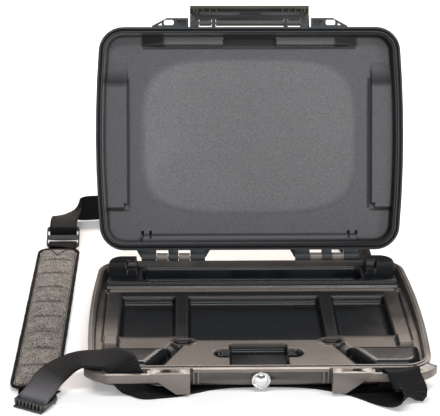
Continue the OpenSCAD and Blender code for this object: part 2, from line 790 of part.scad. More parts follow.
module latch_lever() {
    plate_y = lever_y - rib_r - 0.6;
    tip_z = latch_z - latch_reach;
    ear_x = jaw_half_w + side_gap;
    color("#4e4f48") latch_opened() difference() {
        union() {
            block([-latch_half_w, plate_y - lever_t, tip_z], [latch_half_w, plate_y, lever_z + 2.2]);
            along_x(-latch_half_w, latch_half_w, [[plate_y - 1, tip_z], [plate_y + 2.6, tip_z],
                [plate_y + 3, tip_z + 2.2], [plate_y + 2.4, tip_z + 4.2], [plate_y - 1, tip_z + 4.2]]);
            both_sides() {
                along_x(ear_x, latch_half_w, [[plate_y - 1, lever_z - 6], [plate_y + 2, lever_z - 5],
                    [lever_y + 2.2, lever_z - 2], [lever_y + 2.2, lever_z + 2],
                    [plate_y - 1, lever_z + 2.2]]);
                for (x = [for (rib = lever_ribs) latch_half_w - rib])
                    block([x, plate_y - 1, tip_z + 4], [x + 1.6, plate_y + 1.6, tip_z + 8.5]);
            }
        }
        rod_x(-latch_half_w - 1, latch_half_w + 1, lever_y, lever_z, lever_pin_d + 2 * pin_gap);
    }
}

// Shoulder strap. Routes are centre points and the direction across the webbing
function cross_unit(a, b) = let (c = cross(a, b)) c / norm(c);
function unit(v) = v / norm(v);

// Smooth curve through stations of seven numbers: place, direction across and share of the full width
function between(a, b, c, d, t) =
    0.5 * (2 * b + (c - a) * t + (2 * a - 5 * b + 4 * c - d) * t * t + (3 * b - a - 3 * c + d) * t * t * t);
function smooth(s, steps) = let (n = len(s) - 1)
    concat([for (i = [0:n - 1]) for (k = [0:steps - 1])
        between(s[max(i - 1, 0)], s[i], s[i + 1], s[min(i + 2, n)], k / steps)], [s[n]]);

function place(s) = [s[0], s[1], s[2]];
function across(s) = unit([s[3], s[4], s[5]]);

// A flat band along a route
module ribbon(route, steps = 3, width = webbing_w, thick = webbing_t) {
    s = smooth([for (r = route) len(r) == 7 ? r : concat(r, 1)], steps);
    n = len(s) - 1;
    loft([for (i = [0:n])
        let (ahead = unit(place(s[min(i + 1, n)]) - place(s[max(i - 1, 0)])),
             side = across(s[i]) - ahead * (across(s[i]) * ahead),
             w = unit(side) * width / 2 * s[i][6],
             up = cross_unit(ahead, unit(side)) * thick / 2,
             c = place(s[i]))
        [c - w - up, c + w - up, c + w + up, c - w + up]]);
}

pad_x = -254;
pad_mid_y = 47;
pad_low = webbing_t + 0.5;
pad_channels = 8;
webbing_low = webbing_t / 2 + 0.1;

// Buckle at the cushion's front end: place, heading and the two slots and three bars across it
lock_at = [-250, -169, 5.6];
lock_turn = -28;
lock_w = 42;
lock_bars = [-10.5, -0.5, 10.5];
lock_l = 26;
lock_t = 4;
// Slide at the cushion's rear end
slide_at = [-250, 258, 14];
slide_tilt = 42;
slide_w = 44;
slide_bars = [-12, -0.5, 12];
slide_l = 30;
slide_t = 3.6;
bar_w = 5.4;

function on_lock(y, z) = [lock_at[0] - y * sin(lock_turn), lock_at[1] + y * cos(lock_turn), lock_at[2] + z,
    -cos(lock_turn), -sin(lock_turn), 0];
function on_slide(y, z) = [slide_at[0], slide_at[1] + y * cos(slide_tilt) - z * sin(slide_tilt),
    slide_at[2] + y * sin(slide_tilt) + z * cos(slide_tilt), 1, 0, 0];
// Half a turn of webbing round a bar, from below it to above it
wrap_r = 4.5;
function flip_across(s) = [s[0], s[1], s[2], -s[3], -s[4], -s[5]];

strap_route = concat(
    [on_lock(-17, -4.4), on_lock(-10.5, -4.3), on_lock(-6.2, -2.4), on_lock(-5, 0.3), on_lock(-3.7, 3.2),
     on_lock(-0.5, 4.7), on_lock(10, 6.8)], [
    [-235, -141, 19, -0.82, 0.55, 0.1], [-219, -127, 25, -0.55, 0.82, 0.06],
    [-200, -125, 31.8, -0.22, 0.97, 0], [-182, -129, 34.5, 0.12, 0.98, 0.1],
    [-166, -134.5, 37.2, 0.5, 0.78, 0.3], [-155.5, -143.5, 34.8, 0.82, 0.3, 0.49],
    [-152, -147.8, 27, 0.87, 0.02, 0.49], [-148, -148, 20, 0.87, 0, 0.49],
    [-144, -148.2, 14, 0.86, 0.05, 0.5, 0.9],
    [-139, -149.8, 10.3, 0.76, 0.26, 0.56, 0.66], [-128, -152.4, 5.8, 0.6, 0.74, 0.26, 0.58],
    [-113, -149.4, 2.9, 0.35, 0.93, 0.06, 0.56], [-96, -143, 1.3, 0.2, 0.98, 0, 0.74],
    [-79, -133.5, 1, 0.15, 0.99, 0, 0.88], [-60, -124, 1, 0.05, 1, 0, 0.98], [-30, -118, 1, 0, 1, 0],
    [20, -117, 1, 0, 1, 0], [60, -121, 1, 0.05, 1, 0], [90, -131, 1, 0.28, 0.96, 0],
    [114, -144, 1.1, 0.52, 0.85, 0],
    [138, -163, 2.2, 0.66, 0.75, 0.05], [155, -175, 6.9, 0.72, 0.69, 0.12],
    [165, -175, 15, 0.94, 0.33, 0.04],
    [160, -162.8, 26, 0.99, 0.05, -0.05], [156, -156, 31.4, 1, 0, 0], [153, -149.5, 28.5, 1, 0, 0.1],
    [152, -148, 20, 0.99, 0, 0.1], [150, -147.6, 10, 1, 0, 0.05], [149, -144, 3.4, 1, 0, 0],
    [148, -134, 1.1, 1, 0, 0], [147, -60, 1, 1, 0, 0], [147, 60, 1, 1, 0, 0], [147, 150, 1.4, 1, 0, 0],
    [147, 185, 4.8, 0.95, 0, 0.2], [142, 225, 13, 0.75, 0.1, 0.6], [124, 268, 18, 0.35, 0.25, 0.9],
    [80, 312, 19.3, 0.05, 0.05, 1], [10, 338, 19.4, 0, 0, 1], [-90, 348, 19.4, 0, 0, 1],
    [-170, 350, 19.4, 0, 0, 1],
    [-206, 349, 19.4, 0.1, 0, 1], [-228, 345, 19.6, 0.45, 0.1, 0.88], [-242, 335, 20, 0.83, 0, 0.55],
    [-247, 318, 22.5, 0.98, 0, 0.2], [-249, 298, 27, 1, 0, 0], [-250, 280, 29, 1, 0, 0]],
    [on_slide(13, 4.6), on_slide(9, 3.6), on_slide(6, 0.4), on_slide(3, -3.2), on_slide(-2.5, -4)]);

pad_webbing_route = concat(
    [on_lock(23, 3.4), on_lock(17, 4.6)],
    [for (a = [90, 135, 180, 225, 270]) on_lock(lock_bars[2] + wrap_r * cos(a), wrap_r * sin(a))], [
    [-251, -146, 1, -0.97, 0.22, 0], [pad_x, -128, webbing_low, -1, 0, 0],
    [pad_x, 40, webbing_low, -1, 0, 0], [pad_x, 218, webbing_low, -1, 0, 0],
    [pad_x + 1, 238, webbing_low, -1, 0, 0]],
    [for (a = [-90, -45, 0, 45, 90])
        flip_across(on_slide(slide_bars[0] + wrap_r * cos(a), wrap_r * sin(a)))], [
    [pad_x + 3, 240.5, 6.6, -1, 0, 0]]);

// Cushion of the strap: crowned, drawn in at its ends and pressed by cross channels
module strap_pad() {
    nu = 54;
    nv = 9;
    half_l = pad_l / 2 - binding_d - 0.1;
    half_w = pad_w / 2 - binding_d - 0.1;
    function half_width(u) =
        half_w * (1 - 0.05 * pow(abs(u), 6)) * (1 - 0.35 * pow(max(abs(u) - 0.95, 0) / 0.05, 2));
    function channel(u) = pow(abs(cos(90 * (u + 1) * (pad_channels + 1) + 90)), 0.35);
    function crown(u, v) =
        (1 - pow(abs(v), 3.2)) * (1 - 0.85 * pow(abs(u), 16)) * (0.80 + 0.20 * channel(u));
    function top(u, v) = 3.6 + (pad_t - 4.6) * crown(u, v);
    function bottom(u, v) = 1.6 * (1 - (1 - pow(abs(v), 8)) * (1 - 0.8 * pow(abs(u), 30)));
    color("#8b857c") loft([for (i = [0:nu]) let (u = -1 + 2 * i / nu, y = pad_mid_y + half_l * u)
        concat(
            [for (k = [0:nv]) let (v = 1 - 2 * k / nv)
                [pad_x + half_width(u) * v, y, pad_low + bottom(u, v)]],
            [for (k = [0:nv]) let (v = -1 + 2 * k / nv)
                [pad_x + half_width(u) * v, y, pad_low + top(u, v)]])]);
}

// Bound edge: a soft tube round the cushion with round corners
module pad_binding() {
    mid = [pad_x, pad_mid_y];
    straight_x = pad_w / 2 - 10;
    straight_y = pad_l / 2 - 10;
    ring = [for (c = [[1, -1, -90], [1, 1, 0], [-1, 1, 90], [-1, -1, 180]]) for (i = [0:4])
        let (a = c[2] + 22.5 * i) [c[0] * straight_x, c[1] * straight_y, a]];
    n = len(ring);
    sides = 6;
    color("#17181a") polyhedron(
        points = [for (k = [0:sides - 1]) for (p = ring)
            let (a = 360 * k / sides, r = 10 - binding_d / 2 + binding_d / 2 * cos(a))
            [mid[0] + p[0] + r * cos(p[2]), mid[1] + p[1] + r * sin(p[2]),
             pad_low + 2.4 + binding_d / 2 * sin(a)]],
        faces = [for (k = [0:sides - 1]) for (i = [0:n - 1])
            let (a = k * n + i, b = k * n + (i + 1) % n,
                 d = ((k + 1) % sides) * n + i, c = ((k + 1) % sides) * n + (i + 1) % n)
            each [[a, d, c], [a, c, b]]]);
}

// Webbing sewn along the cushion's outer face, which lies on the ground, with a loop at each end
module pad_webbing() { color("#1d1e20") ribbon(pad_webbing_route, 2); }

// A flat buckle: round-cornered plate with a slot between each two of its bars
module buckle(width, length, thick, bars) {
    difference() {
        prism(round_box(-width / 2, -length / 2, width / 2, length / 2, 3.5), -thick / 2, thick / 2);
        for (i = [0, 1])
            prism(round_box(-width / 2 + 1.4, bars[i] + bar_w / 2,
                width / 2 - 1.4, bars[i + 1] - bar_w / 2, 1.4), -thick, thick);
    }
}

// Three-bar slide between the cushion and the rear webbing
module strap_adjuster() {
    color("#26282a") translate(slide_at) rotate([slide_tilt, 0, 0])
        buckle(slide_w, slide_l, slide_t, slide_bars);
}

// Ladder lock at the cushion's front end, with its toothed edge
module ladder_lock() {
    color("#3a3b3d") translate(lock_at) rotate([0, 0, lock_turn]) {
        buckle(lock_w, lock_l, lock_t, lock_bars);
        for (x = [-16.1:4.6:17])
            prism(round_box(x - 1.1, -lock_l / 2 - 2.4, x + 1.1, -lock_l / 2 + 1, 0.8, 2),
                -lock_t / 2, lock_t / 2 + 0.8);
    }
}

// The long webbing: from the buckle through the left bar, under the base, round the right bar,
// and under and behind the base to the slide
module strap_webbing() { color("#1d1e20") ribbon(strap_route, 2); }

base_shell();
base_liner();
hinge_pin_left();
hinge_pin_right();
valve_body();
valve_cap();
valve_seal();
valve_nut();
valve_membrane();
lid_shell();
lid_liner();
lid_seal();
latch_pin();
latch_jaw();
lever_pin();
latch_lever();
strap_pad();
pad_binding();
pad_webbing();
strap_adjuster();
ladder_lock();
strap_webbing();
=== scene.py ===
import json
import logging
import math
from dataclasses import dataclass
from enum import Enum
from typing import Callable, Optional, Sequence

import bmesh
import bpy
import numpy as np
from mathutils import Matrix, Vector

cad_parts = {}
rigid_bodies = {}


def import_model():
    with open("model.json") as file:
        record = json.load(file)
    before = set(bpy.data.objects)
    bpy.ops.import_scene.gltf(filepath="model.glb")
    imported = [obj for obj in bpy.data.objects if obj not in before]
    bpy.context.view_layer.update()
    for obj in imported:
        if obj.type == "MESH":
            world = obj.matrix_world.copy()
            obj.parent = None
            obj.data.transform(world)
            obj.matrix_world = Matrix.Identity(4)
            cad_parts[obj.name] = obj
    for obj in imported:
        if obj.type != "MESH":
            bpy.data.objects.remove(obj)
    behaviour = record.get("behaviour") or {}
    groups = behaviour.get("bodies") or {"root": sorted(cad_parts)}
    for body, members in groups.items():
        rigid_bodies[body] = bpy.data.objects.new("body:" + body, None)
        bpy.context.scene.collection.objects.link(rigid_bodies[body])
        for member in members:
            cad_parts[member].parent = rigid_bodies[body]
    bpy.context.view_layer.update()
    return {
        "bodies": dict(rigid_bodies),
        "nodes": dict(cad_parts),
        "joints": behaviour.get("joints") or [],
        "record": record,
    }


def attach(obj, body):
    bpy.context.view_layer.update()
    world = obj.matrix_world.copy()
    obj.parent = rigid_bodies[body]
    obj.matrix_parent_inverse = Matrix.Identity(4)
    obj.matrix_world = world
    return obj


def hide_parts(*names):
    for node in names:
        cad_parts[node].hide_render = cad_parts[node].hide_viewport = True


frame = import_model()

logging.basicConfig(level=logging.INFO, format="%(message)s")
LOG = logging.getLogger("laptop_case")

MM = 0.001
Field = np.ndarray
Place = tuple[float, float, float]
Pair = tuple[float, float]
Rgb = tuple[int, int, int]
Station = tuple[float, ...]
Socket = bpy.types.NodeSocket


def darkened(colour: Rgb, divisor: int) -> Rgb:
    """The colour with each channel divided by a whole number."""
    return tuple(part // divisor for part in colour)


def linear(colour: Rgb) -> tuple[float, float, float, float]:
    """Turns a colour of 0 to 255 per channel, as seen on a screen, into linear light.

    Args:
        colour: red, green and blue from 0 to 255.

    Returns:
        The linear colour with an alpha of 1.
    """
    def channel(value: float) -> float:
        """One channel, linear."""
        share = value / 255
        return share / 12.92 if share <= 0.04045 else ((share + 0.055) / 1.055) ** 2.4
    return (*(channel(value) for value in colour), 1.0)


class Surface(Enum):
    """How the fine relief of a finish is made."""

    MOULDED = "moulded"
    METAL = "metal"
    KNIT = "knit"
    WEAVE = "weave"


class NodeSheet:
    """The node tree of one material, with short calls to add and join nodes.

    Attributes:
        COLOUR_INPUTS: places of a colour mix's two colours among its inputs.
        COLOUR_OUTPUT: place of its colour among its outputs.
        material: the material.
        tree: its node tree.
        shader: its main shader.
    """

    COLOUR_INPUTS = (6, 7)
    COLOUR_OUTPUT = 2

    def __init__(self, name: str) -> None:
        """Starts an empty material.

        Args:
            name: the material's name.
        """
        self.material = bpy.data.materials.new(name)
        self.material.use_nodes = True
        self.tree = self.material.node_tree
        self.tree.nodes.clear()
        self.shader = self.add("ShaderNodeBsdfPrincipled")
        output = self.add("ShaderNodeOutputMaterial")
        self.join(self.shader.outputs["BSDF"], output.inputs["Surface"])

    def add(self, kind: str, **settings: object) -> bpy.types.Node:
        """Adds a node and sets its own properties.

        Args:
            kind: the node's type.
            **settings: its properties and their values.

        Returns:
            The new node.
        """
        node = self.tree.nodes.new(kind)
        for key, value in settings.items():
            setattr(node, key, value)
        return node

    def join(self, source: Socket, target: Socket) -> None:
        """Links one socket to another."""
        self.tree.links.new(source, target)

    def object_place(self) -> Socket:
        """The place on the object, in metres."""
        return self.add("ShaderNodeTexCoord").outputs["Object"]

    def noise(self, place: Socket, size: float, detail: float) -> Socket:
        """Cloudy noise whose clouds are about size metres wide.

        Args:
            place: where the pattern is read.
            size: width of a cloud in metres.
            detail: number of finer layers.

        Returns:
            The noise value, from about 0.25 to 0.75.
        """
        node = self.add("ShaderNodeTexNoise")
        node.inputs["Scale"].default_value = 1 / size
        node.inputs["Detail"].default_value = detail
        self.join(place, node.inputs["Vector"])
        return node.outputs["Fac"]

    def spread(self, value: Socket, low: float, high: float,
               from_low: float = 0.3, from_high: float = 0.7) -> Socket:
        """Maps a value onto another range and holds it there.

        Args:
            value: the value to map, cloudy noise unless its own range is given.
            low: result where the value is from_low.
            high: result where the value is from_high.
            from_low: one end of the value's own range.
            from_high: its other end.

        Returns:
            The mapped value.
        """
        node = self.add("ShaderNodeMapRange")
        for key, number in (("From Min", from_low), ("From Max", from_high),
                            ("To Min", low), ("To Max", high)):
            node.inputs[key].default_value = number
        self.join(value, node.inputs["Value"])
        return node.outputs["Result"]

    def sums(self, operation: str, first: Socket, second: Socket | float) -> Socket:
        """One arithmetic step on two values.

        Args:
            operation: name of the step.
            first: the first value.
            second: the second value, a socket or a number.

        Returns:
            The outcome.
        """
        node = self.add("ShaderNodeMath", operation=operation)
        self.join(first, node.inputs[0])
        if isinstance(second, (int, float)):
            node.inputs[1].default_value = second
        else:
            self.join(second, node.inputs[1])
        return node.outputs[0]

    def blend_colours(self, share: Socket, first: Socket | Rgb, second: Socket | Rgb) -> Socket:
        """Blends two colours.

        Args:
            share: 0 gives the first colour, 1 the second.
            first: a socket, or a colour of 0 to 255.
            second: the same.

        Returns:
            The blended colour.
        """
        node = self.add("ShaderNodeMix", data_type="RGBA")
        self.join(share, node.inputs["Factor"])
        for index, colour in zip(self.COLOUR_INPUTS, (first, second)):
            if isinstance(colour, tuple):
                node.inputs[index].default_value = linear(colour)
            else:
                self.join(colour, node.inputs[index])
        return node.outputs[self.COLOUR_OUTPUT]

    def bump(self, height: Socket, distance: float, strength: float,
             under: Optional[Socket] = None) -> Socket:
        """Raises a relief, on top of another one if that is given.

        Args:
            height: share of the height at each point.
            distance: full height in metres.
            strength: how strongly it is seen.
            under: the relief below it.

        Returns:
            The normal.
        """
        node = self.add("ShaderNodeBump")
        node.inputs["Distance"].default_value = distance
        node.inputs["Strength"].default_value = strength
        self.join(height, node.inputs["Height"])
        if under is not None:
            self.join(under, node.inputs["Normal"])
        return node.outputs["Normal"]


@dataclass(frozen=True)
class Finish:
    """One finish of the case: its colour, gloss and fine relief.

    Attributes:
        name: the finish's name.
        slot: the record's material slot it belongs to; not used.
        colour: main colour.
        light: colour of its lighter patches, its weave's ribs, its painted edge highlights and the painted
            light of its "pale" values.
        roughness: mean roughness.
        surface: kind of relief.
        grain: size of the grain in metres.
        relief: height of the grain in metres.
        cloud: width of the broad colour patches in metres.
        patchy: share of the lighter colour in those patches.
        edge: share of the lighter colour on the outer edges, mostly a painted highlight, with some wear.
        metallic: 1 on bare metal.
        sheen: soft fibre sheen.
        gloss: strength of the clear reflection.
        toned: whether the piece's own "pale" values, painted light and shade, lighten and darken it.
        speckle: share of the darker colour in the fine grain.
    """

    name: str
    slot: str
    colour: Rgb
    light: Rgb
    roughness: float = 0.45
    surface: Surface = Surface.MOULDED
    grain: float = 0.0009
    relief: float = 0.00006
    cloud: float = 0.03
    patchy: float = 0.35
    edge: float = 0.3
    metallic: float = 0.0
    sheen: float = 0.0
    gloss: float = 0.5
    toned: bool = False
    speckle: float = 0.0

    def material(self) -> bpy.types.Material:
        """The finish's material, made once and then shared.

        Returns:
            The material.
        """
        found = bpy.data.materials.get(self.name)
        if found:
            return found
        sheet = NodeSheet(self.name)
        shader = sheet.shader
        shader.inputs["Metallic"].default_value = self.metallic
        shader.inputs["Specular IOR Level"].default_value = self.gloss
        shader.inputs["Sheen Weight"].default_value = self.sheen
        place = sheet.object_place()
        cloud = sheet.noise(place, self.cloud, 4)
        colour = sheet.blend_colours(sheet.spread(cloud, 0, self.patchy), self.colour, self.light)
        rough = sheet.spread(cloud, self.roughness - 0.05, self.roughness + 0.06)
        if self.toned:
            colour = self._toned(sheet, colour)
        if self.speckle:
            grains = sheet.spread(sheet.noise(place, self.grain * 1.8, 2), self.speckle, 0, 0.36, 0.64)
            colour = sheet.blend_colours(grains, colour, darkened(self.colour, 2))
        if self.surface is Surface.MOULDED:
            colour = self._edge_highlight_and_shade(sheet, colour)
            normal = sheet.bump(sheet.noise(place, self.grain, 2), self.relief, 0.8)
            normal = sheet.bump(sheet.noise(place, self.grain * 14, 2), self.relief * 4, 0.25, normal)
        elif self.surface is Surface.METAL:
            colour = self._edge_highlight_and_shade(sheet, colour)
            normal = sheet.bump(sheet.noise(place, self.grain, 4), self.relief, 0.4)
        elif self.surface is Surface.KNIT:
            colour, normal = self._knit(sheet, place, colour)
        else:
            colour, normal = self._weave(sheet, colour)
        sheet.join(colour, shader.inputs["Base Color"])
        sheet.join(rough, shader.inputs["Roughness"])
        sheet.join(normal, shader.inputs["Normal"])
        return sheet.material

    def _toned(self, sheet: NodeSheet, colour: Socket) -> Socket:
        """Painted light and shade: lighter and darker stretches from the piece's own "pale" values of -1 to
        1.

        Args:
            sheet: the material's nodes.
            colour: the colour so far.

        Returns:
            The toned colour; its dark stretches also shine less.
        """
        tone = sheet.add("ShaderNodeAttribute", attribute_name="pale").outputs["Fac"]
        colour = sheet.blend_colours(sheet.spread(tone, 0, 1, 0, 1), colour, self.light)
        colour = sheet.blend_colours(sheet.spread(tone, 1, 0, -1, 0), colour, darkened(self.colour, 3))
        dull = 0.04
        sheet.join(sheet.spread(tone, dull, self.gloss, -1, 0), sheet.shader.inputs["Specular IOR Level"])
        return colour

    def _edge_highlight_and_shade(self, sheet: NodeSheet, colour: Socket) -> Socket:
        """Painted highlight on the outer edges, with some wear, and painted shade in the inner corners.

        Args:
            sheet: the material's nodes.
            colour: the colour so far.

        Returns:
            The colour with its edges.
        """
        pointed = sheet.add("ShaderNodeNewGeometry").outputs["Pointiness"]
        dark = tuple(round(part * 0.3) for part in self.colour)
        # painted shade darkens the inner corners; a painted highlight lightens the outer edges
        colour = sheet.blend_colours(sheet.spread(pointed, 0.85, 0, 0.4, 0.49), colour, dark)
        return sheet.blend_colours(sheet.spread(pointed, 0, self.edge, 0.51, 0.6), colour, self.light)

    def _knit(self, sheet: NodeSheet, place: Socket, colour: Socket) -> tuple[Socket, Socket]:
        """Speckled pile of a knitted face: light and dark tufts and a soft relief.

        Args:
            sheet: the material's nodes.
            place: where the patterns are read.
            colour: the colour so far.

        Returns:
            The speckled colour and the normal.
        """
        dark_yarn = (46, 44, 42)
        speck = sheet.noise(place, self.grain, 3)
        tuft = sheet.add("ShaderNodeTexVoronoi")
        tuft.inputs["Scale"].default_value = 1 / (self.grain * 1.4)
        sheet.join(place, tuft.inputs["Vector"])
        dark = sheet.spread(speck, 0, 0.88, 0.47, 0.58)
        colour = sheet.blend_colours(dark, colour, dark_yarn)
        normal = sheet.bump(tuft.outputs["Distance"], self.relief, 0.5)
        return colour, sheet.bump(sheet.noise(place, self.grain * 5, 2), self.relief * 2, 0.6, normal)

    def _weave(self, sheet: NodeSheet, colour: Socket) -> tuple[Socket, Socket]:
        """Weave of webbing, from the band's own map: ribs across it and yarn rows along it.

        Args:
            sheet: the material's nodes.
            colour: the colour so far.

        Returns:
            The woven colour and the normal.
        """
        row_width = self.grain * 1.35
        parts = sheet.add("ShaderNodeSeparateXYZ")
        sheet.join(sheet.add("ShaderNodeUVMap", uv_map="weave").outputs["UV"], parts.inputs[0])
        along = sheet.sums("SINE", sheet.sums("MULTIPLY", parts.outputs["X"], math.tau / self.grain), 0.0)
        across = sheet.sums("SINE", sheet.sums("MULTIPLY", parts.outputs["Y"], math.tau / row_width), 0.0)
        both = sheet.sums("ADD", sheet.sums("MULTIPLY", along, across), sheet.sums("MULTIPLY", along, 0.35))
        colour = sheet.blend_colours(sheet.spread(both, 0, 0.2, -0.2, 1.2), colour, self.light)
        return colour, sheet.bump(both, self.relief, 0.7)


# The base and lid shells are one plastic: the base shell's lighter, warmer colour and its beige light colour
# are a painted reflection of the floor and lamps.
SHELL = Finish("shell_plastic", "shell", (54, 51, 48), (130, 121, 114), 0.33, grain=0.0007,
               relief=0.00004, patchy=0.15, edge=0.6, gloss=0.6)
LID_SHELL = Finish("lid_shell_plastic", "shell", (10, 12, 14), (96, 100, 104), 0.38, grain=0.0007,
                   relief=0.00004, patchy=0.03, edge=0.35, gloss=0.18)
# The tray and the lid liner are one plastic: the tray's near-black is painted shade and the lid liner's grey
# is painted light, each set as it looks under the lamps; their light colours carry the painted sheen and
# highlights.
TRAY = Finish("tray_plastic", "liner", (9, 14, 19), (122, 114, 107), 0.27, grain=0.001, relief=0.00002,
              cloud=0.045, patchy=0.02, edge=0.25, gloss=0.3, toned=True)
LID_LINER = Finish("lid_liner_plastic", "lid_liner", (72, 73, 77), (122, 121, 124), 0.42, grain=0.001,
                   relief=0.0001, cloud=0.05, patchy=0.22, edge=0.2, toned=True, speckle=0.4)
SEAL = Finish("seal_rubber", "seal", (10, 11, 12), (36, 37, 39), 0.6, patchy=0.1)
LATCH = Finish("latch_plastic", "latch", (11, 12, 13), (88, 91, 90), 0.36, relief=0.00004,
               patchy=0.05, edge=0.55, gloss=0.3)
LEVER = Finish("lever_plastic", "latch", (17, 19, 16), (104, 105, 90), 0.42, relief=0.00004,
               patchy=0.04, edge=0.75, gloss=0.25)
PIN = Finish("pin_steel", "pin", (150, 151, 153), (190, 190, 192), 0.3, Surface.METAL, 0.0004, 0.00001,
             metallic=1.0)
VALVE = Finish("valve_metal", "valve_metal", (196, 197, 198), (232, 233, 234), 0.4, Surface.METAL,
               0.0005, 0.00001, metallic=1.0)
MEMBRANE = Finish("vent_membrane", "membrane", (228, 228, 224), (240, 240, 238), 0.7, relief=0.00001)
WEBBING = Finish("strap_webbing", "webbing", (4, 4, 5), (112, 112, 118), 0.6, Surface.WEAVE,
                 0.0021, 0.00026, cloud=0.02, patchy=0.02, gloss=0.1, toned=True)
KNIT = Finish("cushion_knit", "cushion", (112, 108, 103), (168, 164, 157), 0.85, Surface.KNIT,
              0.0017, 0.0007, cloud=0.012, patchy=0.7, sheen=0.1, gloss=0.2, toned=True)
BINDING = Finish("binding_tape", "binding", (5, 5, 5), (34, 33, 32), 0.8, Surface.KNIT, 0.0008, 0.0002,
                 patchy=0.3, gloss=0.1)
THREAD = Finish("stitch_thread", "binding", (16, 16, 16), (40, 39, 38), 0.7, grain=0.0004, relief=0.00003)
BUCKLE = Finish("buckle_plastic", "buckle", (15, 16, 17), (98, 100, 102), 0.38, patchy=0.08,
                edge=0.45, gloss=0.3)


def finish_piece(name: str, mesh: bpy.types.Mesh, finish: Finish, body: str,
                 stands_for: Sequence[str] = (), sharp_degrees: float = 38) -> bpy.types.Object:
    """Makes an object of a mesh, dresses it and hangs it on its body.

    Args:
        name: the piece's name.
        mesh: its mesh, in metres in the object's frame.
        finish: what it is finished in.
        body: the body that it rides on.
        stands_for: the nodes that it replaces.
        sharp_degrees: edges that turn more than this stay crisp.

    Returns:
        The finished object.
    """
    piece = bpy.data.objects.new(name, mesh)
    bpy.context.scene.collection.objects.link(piece)
    mesh.materials.clear()
    mesh.materials.append(finish.material())
    mesh.polygons.foreach_set("use_smooth", [True] * len(mesh.polygons))
    mesh.set_sharp_from_angle(angle=math.radians(sharp_degrees))
    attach(piece, body)
    if stands_for:
        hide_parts(*stands_for)
    LOG.info("%s: %d faces on %s", name, len(mesh.polygons), body)
    return piece


def new_verts(made: Sequence[object]) -> list[bmesh.types.BMVert]:
    """The vertices among the parts that an extrusion made."""
    return [part for part in made if isinstance(part, bmesh.types.BMVert)]


def new_edges(made: Sequence[object]) -> list[bmesh.types.BMEdge]:
    """The edges among the parts that an extrusion made."""
    return [part for part in made if isinstance(part, bmesh.types.BMEdge)]


def mesh_of(name: str, shape: bmesh.types.BMesh) -> bpy.types.Mesh:
    """Turns a bmesh into a mesh and frees it.

    Args:
        name: the mesh's name.
        shape: the bmesh.

    Returns:
        The mesh.
    """
    mesh = bpy.data.meshes.new(name)
    shape.to_mesh(mesh)
    shape.free()
    return mesh


@dataclass
class DressedNode:
    """A rigid node of the frame, with its edges rounded as a mould leaves them, in millimetres.

    Attributes:
        node: the frame's node.
        finish: its finish.
        body: the body that it rides on.
        round_mm: radius of the rounded edges.
        crease_degrees: only edges sharper than this are rounded.
        merge_mm: corners closer than this are one.
        flat_degrees: faces that turn less than this are one.
    """

    node: str
    finish: Finish
    body: str
    round_mm: float = 0.5
    crease_degrees: float = 28
    merge_mm: float = 0.005
    flat_degrees: float = 0.6

    def build(self, frame: dict) -> bpy.types.Object:
        """Copies the node, merges its triangles and bevels its edges.

        Args:
            frame: the loaded frame.

        Returns:
            The dressed piece.
        """
        shape = bmesh.new()
        shape.from_mesh(frame["nodes"][self.node].data)
        bmesh.ops.remove_doubles(shape, verts=shape.verts, dist=self.merge_mm * MM)
        bmesh.ops.dissolve_limit(shape, angle_limit=math.radians(self.flat_degrees), verts=shape.verts,
                                 edges=shape.edges, use_dissolve_boundaries=False)
        crease = math.radians(self.crease_degrees)
        shortest = 2.2 * self.round_mm * MM
        edges = [edge for edge in shape.edges if len(edge.link_faces) == 2
                 and edge.calc_face_angle(0) > crease and edge.calc_length() > shortest]
        if self.round_mm > 0:
            bmesh.ops.bevel(shape, geom=edges, offset=self.round_mm * MM, offset_type="OFFSET",
                            segments=2, profile=0.5, affect="EDGES", clamp_overlap=True, material=-1)
        bmesh.ops.triangulate(shape, faces=[face for face in shape.faces if len(face.verts) > 4])
        mesh = mesh_of(self.node, shape)
        return finish_piece(f"{self.node}_dressed", mesh, self.finish, self.body, (self.node,))


@dataclass
class CaseOutline:
    """The case seen from above: round corners and bowed sides, moved in by an inset.

    Attributes:
        width: full width over the bowed sides, in millimetres.
        depth: full depth.
        bow: how far each side bows.
        corner: corner radius.
    """

    width: float = 398
    depth: float = 288
    bow: float = 4.3
    corner: float = 32

    @property
    def turn_x(self) -> float:
        """Distance from the middle to the centres of the corner arcs, along X."""
        return self.width / 2 - self.bow - self.corner

    @property
    def turn_y(self) -> float:
        """The same along Y."""
        return self.depth / 2 - self.corner

    def half_width(self, y: Field, inset: float) -> Field:
        """Half the width at each y.

        Args:
            y: places along the depth.
            inset: how far the outline is moved in.

        Returns:
            Half widths in millimetres, 0 beyond the ends.
        """
        over = np.clip(np.abs(y) - self.turn_y, 0, None)
        radius = self.corner - inset
        corner = self.turn_x + np.sqrt(np.clip(radius ** 2 - over ** 2, 0, None))
        side = self.turn_x + radius + self.bow * (1 - (y / self.turn_y) ** 2)
        return np.where(over > 0, corner, side)

    def depth_inside(self, x: Field, y: Field, inset: float) -> Field:
        """How deep points lie inside the outline.

        Args:
            x: their places along the width.
            y: their places along the depth.
            inset: how far the outline is moved in.

        Returns:
            Depths in millimetres, below 0 outside it.
        """
        ax, ay = np.abs(x), np.abs(y)
        radius = self.corner - inset
        corner = radius - np.hypot(ax - self.turn_x, ay - self.turn_y)
        side = self.half_width(np.clip(y, -self.turn_y, self.turn_y), inset) - ax
        ends = self.depth / 2 - inset - ay
        straight = np.minimum(side, ends)
        in_corner = (ax > self.turn_x) & (ay > self.turn_y)
        return np.where(in_corner, corner, straight)


CASE = CaseOutline()


def clipped(value: Field) -> Field:
    """Holds a value between 0 and 1."""
    return np.clip(value, 0, 1)


def soft_step(depth: Field, width: float) -> Field:
    """Rises smoothly from 0 at depth 0 to 1 at the given width."""
    part = clipped(depth / width)
    return part * part * (3 - 2 * part)


